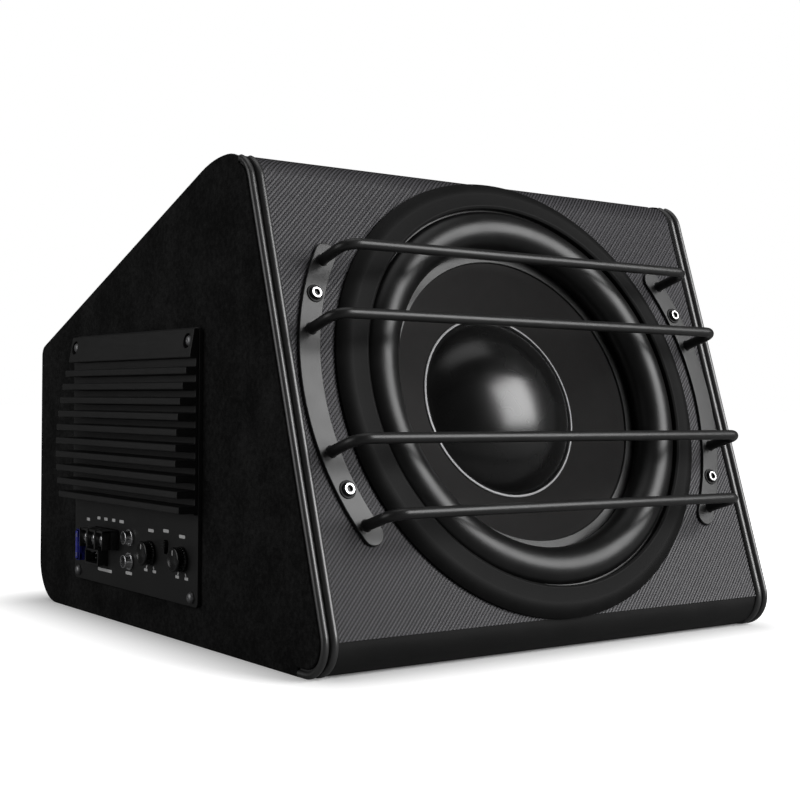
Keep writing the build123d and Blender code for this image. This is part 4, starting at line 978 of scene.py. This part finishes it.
KNOB_Z, LEVEL_Y, CROSSOVER_Y = 48.4, 6.8, -34.2
RCA_Y, RCA_Z = 34.8, (55.2, 40.7)
TERMINAL_Y, TERMINAL_Z = (51.8, 86.6), (46.0, 58.0)
FUSE_Y, FUSE_Z = (92.3, 97.3), (36.2, 56.2)
SOCKET_Y, SOCKET_Z = (67.8, 88.2), (34.6, 44.8)
PHASE_Y, PHASE_Z, PHASE_SLOT = -13.7, 53.5, (5.0, 8.2)
GAP = 0.3
PANEL_HOLE, POT_HOLE, RCA_HOLE, PANEL_CORNER, PANEL_EDGE = 1.9, 3.6, 4.6, 3, 0.3


def side_point(y, z):
    """Local (x, y) on a plane that faces out of the left side."""
    return -y, z


def amp_panel():
    middle = (panel_low + panel_high) / 2
    size = panel_high - panel_low
    outlines = [rectangle(size[1], size[2], PANEL_CORNER, side_point(middle[1], middle[2]), 8)]
    outlines += [circle(PANEL_HOLE, side_point(y, z), 24) for y in PANEL_SCREW_Y for z in PANEL_SCREW_Z]
    outlines += [circle(POT_HOLE, side_point(y, KNOB_Z), 32) for y in (LEVEL_Y, CROSSOVER_Y)]
    outlines += [circle(RCA_HOLE, side_point(RCA_Y, z), 32) for z in RCA_Z]
    windows = (TERMINAL_Y, TERMINAL_Z), (FUSE_Y, FUSE_Z), (SOCKET_Y, SOCKET_Z)
    for (y_low, y_high), (z_low, z_high) in windows:
        outlines.append(rectangle(y_high - y_low + 2 * GAP, z_high - z_low + 2 * GAP, PANEL_EDGE,
                                  side_point((y_low + y_high) / 2, (z_low + z_high) / 2)))
    outlines.append(rectangle(*PHASE_SLOT, PANEL_EDGE, side_point(PHASE_Y, PHASE_Z)))
    piece = Shape().plate(outlines, 0, PANEL, PANEL_EDGE, on_side()).make(
        "amplifier_plate", **in_place_of("amp_panel"))
    weigh_normals(piece)


heat_sink()
amp_panel()

# ---- Screws ----
SCREW_LENGTH = 18.0
AMP_HEAD, AMP_HEAD_RADIUS, AMP_SHANK, AMP_CROSS = 2.2, 3.4, 1.7, (4.0, 0.95)
WASHER, WASHER_RADIUS, WASHER_BORE = 0.6, 5.0, 2.05
GUARD_HEAD, GUARD_HEAD_RADIUS, HEX_RADIUS, HEX_DEPTH = 2.0, 3.8, 1.75, 1.4
GUARD_SHANK, GUARD_SHANK_LENGTH = 2.0, 20.0
CROWN_BRIM, CROWN_ROUND, HEX_CLEAR = 0.35, 0.25, 0.25
ABOVE = 1.0  # how far a cutter stands past the face it opens


def cross(length, width):
    """The outline of a plus sign."""
    a, b = length / 2, width / 2
    return [(-b, -a), (b, -a), (b, -b), (a, -b), (a, b), (b, b), (b, a), (-b, a), (-b, b), (-a, b),
            (-a, -b), (-b, -b)]


def amp_screws():
    """Pan heads with a cross recess."""
    base = PANEL + SINK_BASE
    spots = [(y, z, base if z > 100 else PANEL) for y in PANEL_SCREW_Y for z in PANEL_SCREW_Z]
    shape = Shape()
    for y, z, seat in spots:
        place = on_side(y, z, seat)
        crown = arc_through((AMP_HEAD_RADIUS, 0.5), (2.7, 1.65), (0, AMP_HEAD), 14)
        shape.turned([(0, -SCREW_LENGTH), (AMP_SHANK, -SCREW_LENGTH + 1), (AMP_SHANK, 0),
                      (AMP_HEAD_RADIUS - 0.15, 0), *crown], place, segments=48)
    piece = shape.make("amp_pan_screws", MATERIALS["dull_zinc"], slot="bright_steel", replaces=["amp_screws"])
    recesses = Shape()
    for y, z, seat in spots:
        place = on_side(y, z, seat)
        recesses.plate([cross(*AMP_CROSS)], AMP_HEAD - 1.3, AMP_HEAD + ABOVE, 0, place)
        recesses.turned([(0, 0.3), (1.5, AMP_HEAD + ABOVE), (0, AMP_HEAD + ABOVE)], place, segments=24)
    cut(piece, recesses)
    sharpen(piece)


def guard_fixings():
    """Low button heads with a hexagon socket, each on a thin dark washer; a bright steel crown on a black head
    stands for a lit top and a shaded side, painted light and shade.
    """
    spots = [(sx * GUARD_SCREW_X, su * GUARD_SCREW_UP) for sx in (-1, 1) for su in (-1, 1)]
    washers, screws, sockets, crowns = Shape(), Shape(), Shape(), Shape()
    ring = rounded([(WASHER_BORE, 0), (WASHER_RADIUS, 0), (WASHER_RADIUS, WASHER, 0.25),
                    (WASHER_BORE, WASHER, 0.1)], 4)
    lit_crown_edge = GUARD_HEAD_RADIUS - 0.7
    top = arc_through((GUARD_HEAD_RADIUS, 0.4), (3.5, 1.3), (lit_crown_edge, GUARD_HEAD - 0.15), 10)
    head = [(0, -GUARD_SHANK_LENGTH), (GUARD_SHANK - 0.5, -GUARD_SHANK_LENGTH),
            (GUARD_SHANK, 0.5 - GUARD_SHANK_LENGTH), (GUARD_SHANK, 0), (GUARD_HEAD_RADIUS - 0.2, 0), *top,
            (0, GUARD_HEAD - 0.1)]
    inner = HEX_RADIUS + HEX_CLEAR
    crown = rounded([(inner, GUARD_HEAD - CROWN_BRIM), (lit_crown_edge, GUARD_HEAD - CROWN_BRIM),
                     (lit_crown_edge, GUARD_HEAD, CROWN_ROUND), (inner, GUARD_HEAD, 0.1)], 4)
    for x, up in spots:
        washers.turned(ring, on_driver(x, up, GUARD_PLATE), segments=56)
        place = on_driver(x, up, GUARD_PLATE + WASHER)
        screws.turned(head, place, segments=56)
        turn = [radians(30 + 60 * k) for k in range(6)]
        hexagon = [(HEX_RADIUS * cos(a), HEX_RADIUS * sin(a)) for a in turn]
        sockets.plate([hexagon], GUARD_HEAD - HEX_DEPTH, GUARD_HEAD + ABOVE, 0, place)
        crowns.turned(crown, place, segments=56)
    washers.make("guard_flat_washers", MATERIALS["black_oxide"], slot="black_paint",
                 replaces=["guard_washers"])
    # The bright crown is a painted highlight on the lit top; the head's black stands for its shaded side.
    crowns.make("guard_screw_lit_crowns", **finish_of("bright_steel"))
    piece = screws.make("guard_button_screws", MATERIALS["black_paint"], slot="black_paint",
                        replaces=["guard_screws"], crease=ROUND_CREASE)
    cut(piece, sockets)
    sharpen(piece, ROUND_CREASE)


amp_screws()
guard_fixings()

# ---- Knobs and the phase switch ----
KNOB_RADIUS, KNOB_REACH, KNOB_CROWN, FLUTES, FLUTE_DEPTH = 7.4, 8.9, 0.9, 24, 0.5
SHAFT_RADIUS, SHAFT_IN = 3.0, 8.0
POINTER, POINTER_OUT = (0.9, 3.0), 3.9


def knob(name, y):
    """A fluted cap on a round skirt, with a white line on its face; its shaft is part of it."""
    base = PANEL + GAP
    place = on_side(y, KNOB_Z, 0)
    face, crown = KNOB_REACH, KNOB_CROWN
    side = KNOB_RADIUS - 0.1
    profile = [(0, -SHAFT_IN, 0), (SHAFT_RADIUS - 0.4, -SHAFT_IN, 0), (SHAFT_RADIUS, 0.4 - SHAFT_IN, 0),
               (SHAFT_RADIUS, base, 0), (side - 0.2, base, 0), (KNOB_RADIUS, base + 0.3, 0),
               (KNOB_RADIUS, base + 1.0, 0), (side, base + 1.2, 0), (side - 0.2, base + 1.5, FLUTE_DEPTH),
               (side - 0.2, face - crown - 0.5, FLUTE_DEPTH), (side, face - crown - 0.2, 0)]
    profile += [(side - crown * (1 - cos(a)), face - crown * (1 - sin(a)), 0)
                for a in (radians(15 * k) for k in range(7))]
    profile += [(5.6, face, 0), (5.2, face - 0.25, 0), (0, face - 0.25, 0)]
    Shape().fluted(profile, FLUTES, place).make(
        f"{name}_fluted_knob", **in_place_of(f"{name}_knob", body=f"{name}_knob"), crease=ROUND_CREASE)
    line = rectangle(*POINTER, POINTER[0] / 2, (0, POINTER_OUT))
    Shape().plate([line], face - 0.8, face, 0.08, place).make(
        f"{name}_pointer", ink, body=f"{name}_knob")


PHASE_TRAVEL = 3.0
SLIDER_SIDE, SLIDER_REACH, SLIDER_TALL, GRIPS = 1.9, PANEL + 2.5, 4.0, (-1.35, 0, 1.35)


def phase_lever():
    """The switch's lever, at the upper end of its slot, with three grip ridges."""
    place = on_side(PHASE_Y, PHASE_Z + PHASE_TRAVEL / 2, 0)
    lever = rectangle(2 * SLIDER_SIDE, SLIDER_TALL, 0.3)
    shape = Shape().plate([lever], GAP - PHASE_TRAVEL, SLIDER_REACH - 0.8, 0.15, place)
    for up in GRIPS:
        ridge = rectangle(2 * SLIDER_SIDE - 0.2, 0.8, 0.2, (0, up))
        shape.plate([ridge], SLIDER_REACH - 1.0, SLIDER_REACH, 0.15, place)
    shape.make("phase_lever", **in_place_of("phase_switch_slider", body="phase_slider"))


knob("level", LEVEL_Y)
knob("crossover", CROSSOVER_Y)
phase_lever()

# ---- Connectors ----
RCA_RADIUS, RCA_REACH, RCA_FLANGE, RCA_FLOOR, RCA_IN = 4.15, 7.4, 1.2, 3.4, 8.0
CORE_RADIUS, CORE_BORE, CONTACT_RADIUS, CONTACT_BORE = 3.25, 1.8, 1.75, 1.2
TERMINAL_REACH, TERMINAL_FLOOR, TERMINAL_IN = 13.6, 8.5, 6.0
CLAMP, CLAMP_HEAD, CLAMP_SHANK, CLAMP_IN, CLAMP_CROSS = 8.4, 3.6, 1.7, 11.0, (5.6, 0.9)
TERMINAL_SCREW_Y, TERMINAL_SCREW_Z, BAY = (57.4, 69.2, 81.0), 52.0, 9.6
FUSE_REACH, BLADE_Z = 12.0, 7.0
SOCKET_REACH, SOCKET_DEPTH, SOCKET_WALL = 9.0, 8.0, 1.4
PINS_X, PINS_UP, PIN, PIN_REACH = (-6.3, -2.1, 2.1, 6.3), (-1.6, 1.2), 0.9, 3.2


def rca_jack(name, z):
    """A plated shell on a flange, with a dark core and a sprung contact."""
    place = on_side(RCA_Y, z, 0)
    flange = PANEL + RCA_FLANGE
    rim, floor_reach = RCA_REACH, RCA_FLOOR
    shell = [(0, -RCA_IN), (4.5, -RCA_IN), (4.5, PANEL), (5.3, PANEL), (5.4, PANEL + 0.2),
             (5.4, flange - 0.3), (5.2, flange), (4.4, flange), (RCA_RADIUS, flange + 0.3),
             (RCA_RADIUS, rim - 0.4), (RCA_RADIUS - 0.12, rim - 0.12), (RCA_RADIUS - 0.4, rim),
             (RCA_RADIUS - 0.75, rim), (RCA_RADIUS - 0.85, rim - 0.3), (3.3, floor_reach), (0, floor_reach)]
    Shape().turned(shell, place, segments=72).make(
        f"rca_shell_{name}", **in_place_of(f"rca_jack_{name}"), crease=ROUND_CREASE)
    core = [(CORE_RADIUS, floor_reach - 0.2), (CORE_RADIUS, rim - 1.4), (3.0, rim - 1.2), (2.0, rim - 1.2),
            (CORE_BORE, rim - 1.4), (CORE_BORE, floor_reach + 0.2), (0, floor_reach + 0.2),
            (0, floor_reach - 0.2)]
    Shape().turned(core, place, segments=48).make(f"rca_core_{name}", **finish_of("black_plastic"))
    contact = [(CONTACT_RADIUS, floor_reach), (CONTACT_RADIUS, rim - 1.8), (1.6, rim - 1.6), (1.3, rim - 1.6),
               (CONTACT_BORE, rim - 1.9), (CONTACT_BORE, floor_reach)]
    Shape().turned(contact, place, segments=36).make(f"rca_contact_{name}", **finish_of("bright_steel"))


def terminal_block():
    """A barrier strip: a base, a back wall above the bays, and walls between them."""
    low, high = TERMINAL_Y
    bottom, top = TERMINAL_Z
    middle = side_point((low + high) / 2, (bottom + top) / 2)
    base = rectangle(high - low, top - bottom, 0.6, middle)
    shape = Shape().plate([base], -TERMINAL_IN, TERMINAL_FLOOR, 0.25, on_side())
    roof = rectangle(high - low, 1.5, 0.3, side_point((low + high) / 2, top - 0.75))
    shape.plate([roof], TERMINAL_FLOOR - 1, TERMINAL_REACH - 0.8, 0.25, on_side())
    edges = [low] + [y + s * BAY / 2 for y in TERMINAL_SCREW_Y for s in (-1, 1)] + [high]
    for start, end in zip(edges[0::2], edges[1::2]):
        wall = rectangle(end - start, top - bottom, 0.3, side_point((start + end) / 2, middle[1]))
        shape.plate([wall], TERMINAL_FLOOR - 1, TERMINAL_REACH, 0.3, on_side())
    shape.make("barrier_strip", **in_place_of("power_terminal_block"))

    screws, slots_cut = Shape(), Shape()
    for y in TERMINAL_SCREW_Y:
        place = on_side(y, TERMINAL_SCREW_Z, TERMINAL_FLOOR)
        screws.plate([rectangle(CLAMP, 8.2, 0.8)], 0, 0.9, 0.15, place)
        screws.plate([rectangle(CLAMP, 0.9, 0.3, (0, -3.75))], 0.5, 2.4, 0.2, place)
        crown = arc_through((CLAMP_HEAD, 1.9), (2.9, 3.1), (0, 3.6), 12)
        screws.turned([(0, -CLAMP_IN), (CLAMP_SHANK, -CLAMP_IN), (CLAMP_SHANK, 0.7), (3.45, 0.7), *crown],
                      place, segments=48)
        slots_cut.plate([cross(*CLAMP_CROSS)], 2.3, 5, 0, place)
    piece = screws.make("clamp_screws", **in_place_of("terminal_screws"))
    cut(piece, slots_cut)
    sharpen(piece)


def fuse():
    """A blade fuse: end posts, a thinner middle, a ridge on top and two test points."""
    middle = (sum(FUSE_Y) / 2, sum(FUSE_Z) / 2)
    place = on_side(*middle, 0)
    half, tall = (FUSE_Y[1] - FUSE_Y[0]) / 2, (FUSE_Z[1] - FUSE_Z[0]) / 2
    side = [(half, -tall, 0.8), (half, -5.4, 0.3), (half - 0.5, -4.8, 0.3), (half - 0.5, 4.8, 0.3),
            (half, 5.4, 0.3), (half, tall, 0.8)]
    outline = rounded(side + [(-x, y, r) for x, y, r in reversed(side)], 5)
    shape = Shape().plate([outline], GAP, FUSE_REACH - 0.9, 0.3, place)
    shape.plate([rectangle(2 * half, 2 * tall, 0.8)], FUSE_REACH - 3.4, FUSE_REACH - 0.9, 0.35, place)
    shape.plate([rectangle(3.2, 2 * tall - 2.0, 0.9)], FUSE_REACH - 1.2, FUSE_REACH, 0.35, place)
    shape.make("fuse_body", **in_place_of("blade_fuse", body="fuse"))
    metal = Shape()
    for s in (-1, 1):
        metal.plate([rectangle(0.7, 5.2, 0.1, (0, s * BLADE_Z))], -SOCKET_DEPTH, GAP + 0.5, 0.05, place)
        metal.plate([rectangle(1.2, 2.4, 0.3, (0, s * 6.2))], FUSE_REACH - 0.5, FUSE_REACH + 0.02, 0, place)
    metal.make("fuse_metal", **finish_of("bright_steel"), body="fuse")


def high_level_socket():
    """An open shell with a keyway and two rows of pins."""
    low, high = SOCKET_Y
    bottom, top = SOCKET_Z
    width, tall = high - low, top - bottom
    place = on_side((low + high) / 2, (bottom + top) / 2, 0)
    inside = rectangle(width - 2 * SOCKET_WALL, tall - 2 * SOCKET_WALL, 0.5)
    outside = rectangle(width, tall, 0.8)
    shape = Shape().plate([outside, inside], 1.2 - SOCKET_DEPTH, SOCKET_REACH, 0.25, place)
    shape.plate([outside], -SOCKET_DEPTH, 1.5 - SOCKET_DEPTH, 0.1, place)
    key = rectangle(5.0, 1.0, 0.2, (0, tall / 2 - 1.7))
    shape.plate([key], SOCKET_WALL - SOCKET_DEPTH, SOCKET_REACH - 0.6, 0.15, place)
    shape.make("socket_shell", **in_place_of("high_level_socket"))
    pins = Shape()
    for x in PINS_X:
        for up in PINS_UP:
            pin = rectangle(PIN, PIN, 0.15, (x, up))
            pins.plate([pin], SOCKET_WALL - SOCKET_DEPTH, PIN_REACH, 0.2, place)
    pins.make("socket_pins", **finish_of("bright_steel"))


for name, z in zip(("upper", "lower"), RCA_Z):
    rca_jack(name, z)
terminal_block()
fuse()
high_level_socket()

# ---- Printed marks: plain bars in place of words, scales round the knobs, polarity signs ----
INK = 0.06
WORDS = [(97.6, 62.0, 4.8), (81.2, 64.0, 4.6), (70.5, 64.0, 5.0), (58.8, 64.1, 4.6), (47.2, 64.1, 6.4),
         (6.1, 61.8, 7.4), (-13.7, 63.1, 7.0), (-34.2, 61.4, 7.4), (71.3, 31.4, 21.0), (36.2, 33.1, 9.0)]
MARK, MARK_ROUND, TICK, TICK_WIDTH = 1.9, 0.6, 1.8, 1.0
SCALE_RADIUS, SCALE_START, SCALE_END = 9.0, -62, 242


def printed_marks():
    shape = Shape()

    def printed(outline):
        shape.plate([outline], PANEL - 0.05, PANEL + INK, 0, on_side())

    for y, z, length in WORDS:
        printed(rectangle(length, MARK, MARK_ROUND, side_point(y, z)))
    for y in (LEVEL_Y, CROSSOVER_Y):
        middle = side_point(y, KNOB_Z)
        for turn in (radians(SCALE_START), radians(SCALE_END)):
            along, aside = Vector((cos(turn), sin(turn))), Vector((-sin(turn), cos(turn))) * TICK_WIDTH / 2
            near, far = (Vector(middle) + along * r for r in (SCALE_RADIUS, SCALE_RADIUS + TICK))
            printed([tuple(near - aside), tuple(far - aside), tuple(far + aside), tuple(near + aside)])
            printed(rectangle(4.4, 1.7, 0.6, tuple(Vector(middle) + along * (SCALE_RADIUS + 3.2))))
    shape.make("printed_marks", ink)


printed_marks()

# ---- Wadding: a lumpy batt inside the rear wall ----
def wadding():
    low, high = corners("damping_wadding")
    middle, half = (low + high) / 2, (high - low) / 2
    batt = bmesh.new()
    bmesh.ops.create_cube(batt, size=2)
    bmesh.ops.subdivide_edges(batt, edges=batt.edges, cuts=40, use_grid_fill=True)
    points = []
    for vertex in batt.verts:
        spot = Vector([h * c for h, c in zip(half, vertex.co)])
        lump = noise.noise(spot * 0.035) * 0.6 + noise.noise(spot * 0.12) * 0.4
        edge = max(0, sorted(abs(c) for c in vertex.co)[1] - 0.7) / 0.3
        sink = 2.5 + 1.8 * lump + 3.0 * edge**2
        limits = [max(0, abs(c) * h - sink) for c, h in zip(vertex.co, half)]
        points.append([m + (1 if c > 0 else -1) * reach for m, c, reach in zip(middle, vertex.co, limits)])
    batt.verts.index_update()
    faces = [[v.index for v in face.verts] for face in batt.faces]
    batt.free()
    piece = Shape().add(points, faces).make("wadding_batt", **in_place_of("damping_wadding"), crease=80)


wadding()

# ---- Camera, floor and light ----
CAMERA_PLACE = (-545.3, -760.3, 139.9)
CAMERA_YAW, CAMERA_PITCH, CAMERA_ROLL = radians(36.127), radians(0.107), radians(0.514)
LENS, SENSOR = 63.0, 36.0
FLOOR_BOUNCE, FLOOR_WHITE = 0.27, 0.86
PAINTED_GLOW_FADE = (-0.02, 0.09)  # painted glow, from none to full, this far past the footprint, in metres: it takes the floor from grey to pure white and leaves painted shade round the object
FLOOR_RADIUS = 30  # in metres
WORLD_LIGHT = 0.05
FOOTPRINT = (0.15, 0.165)  # half the width and depth of the object on the floor, in metres


def camera():
    data = bpy.data.cameras.new("camera")
    data.lens = LENS
    data.sensor_width = SENSOR
    data.clip_start = 0.01
    seen = bpy.data.objects.new("camera", data)
    turn = Matrix.Rotation(-CAMERA_YAW, 4, "Z") @ Matrix.Rotation(pi / 2 + CAMERA_PITCH, 4, "X")
    turn = turn @ Matrix.Rotation(CAMERA_ROLL, 4, "Z")
    seen.matrix_world = Matrix.Translation(Vector(CAMERA_PLACE) * MM) @ turn
    link(seen)
    bpy.context.scene.camera = seen


def floor():
    """White paper that glows to the camera: painted light, fading in past the footprint to pure white, so the
    floor round the object stays darker as painted shade; to the object it is a dim grey.
    """
    made = Material("pale_floor_painted_glow", 0.9, Specular_IOR_Level=0.0)
    split = made.tree.nodes.new("ShaderNodeSeparateXYZ")
    made.tree.links.new(made.coordinates.outputs["Object"], split.inputs[0])
    beyond = [(Field(made.tree, split.outputs[k]).size() - half).math("MAXIMUM", 0.0)
              for k, half in enumerate(FOOTPRINT)]
    far = (beyond[0] ** 2.0 + beyond[1] ** 2.0) ** 0.5
    away = made.tree.nodes.new("ShaderNodeMapRange")
    away.interpolation_type = "SMOOTHSTEP"
    made.tree.links.new(far.socket, away.inputs[0])
    away.inputs["From Min"].default_value, away.inputs["From Max"].default_value = PAINTED_GLOW_FADE
    path = made.tree.nodes.new("ShaderNodeLightPath")
    direct = Field(made.tree, path.outputs["Is Camera Ray"])
    # Emission seen only by camera rays: painted light, left out round the footprint as painted shade.
    painted_glow = Field(made.tree, away.outputs[0]) * direct
    made.shader.inputs["Emission Color"].default_value = (1, 1, 1, 1)
    plug(made.tree, painted_glow, made.shader.inputs["Emission Strength"])
    made.colour(made.ramp(direct, (0.0, FLOOR_BOUNCE), (1.0, FLOOR_WHITE)))
    mesh = bpy.data.meshes.new("floor")
    sheet = bmesh.new()
    bmesh.ops.create_circle(sheet, cap_ends=True, segments=64, radius=FLOOR_RADIUS)
    sheet.to_mesh(mesh)
    sheet.free()
    mesh.materials.append(made.material)
    ground = bpy.data.objects.new("floor", mesh)
    link(ground)


def softbox(name, toward, distance, size, radiance, target=(0, 0, 130)):
    """A square light that shines on the object from a direction, with this brightness seen face on."""
    data = bpy.data.lights.new(name, "AREA")
    data.shape = "SQUARE"
    data.size = size
    data.energy = radiance * pi * size * size
    lamp = bpy.data.objects.new(name, data)
    direction = Vector(toward).normalized()
    target = Vector(target) * MM
    lamp.location = target + direction * distance
    lamp.rotation_mode = "QUATERNION"
    lamp.rotation_quaternion = direction.to_track_quat("Z", "Y")
    link(lamp)


def surroundings():
    world = bpy.data.worlds.new("studio")
    world.use_nodes = True
    tree = world.node_tree
    background = tree.nodes["Background"]
    background.inputs["Color"].default_value = (1, 1, 1, 1)
    background.inputs["Strength"].default_value = WORLD_LIGHT
    seen = tree.nodes.new("ShaderNodeBackground")
    seen.inputs["Color"].default_value = (1, 1, 1, 1)
    seen.inputs["Strength"].default_value = 1.0
    path = tree.nodes.new("ShaderNodeLightPath")
    mix = tree.nodes.new("ShaderNodeMixShader")
    tree.links.new(path.outputs["Is Camera Ray"], mix.inputs[0])
    tree.links.new(background.outputs[0], mix.inputs[1])
    tree.links.new(seen.outputs[0], mix.inputs[2])
    tree.links.new(mix.outputs[0], tree.nodes["World Output"].inputs[0])
    bpy.context.scene.world = world
    bpy.context.scene.view_settings.view_transform = "Standard"


camera()
floor()
surroundings()
softbox("key", (0.52, -0.80, 0.42), distance=1.6, size=1.1, radiance=8.2, target=(0, -140, 130))
softbox("overhead", (0.0, 0.0, 1.0), distance=2.0, size=1.6, radiance=0.8)
softbox("left_fill", (-1.0, 0.30, 0.22), distance=1.8, size=1.3, radiance=1.7)
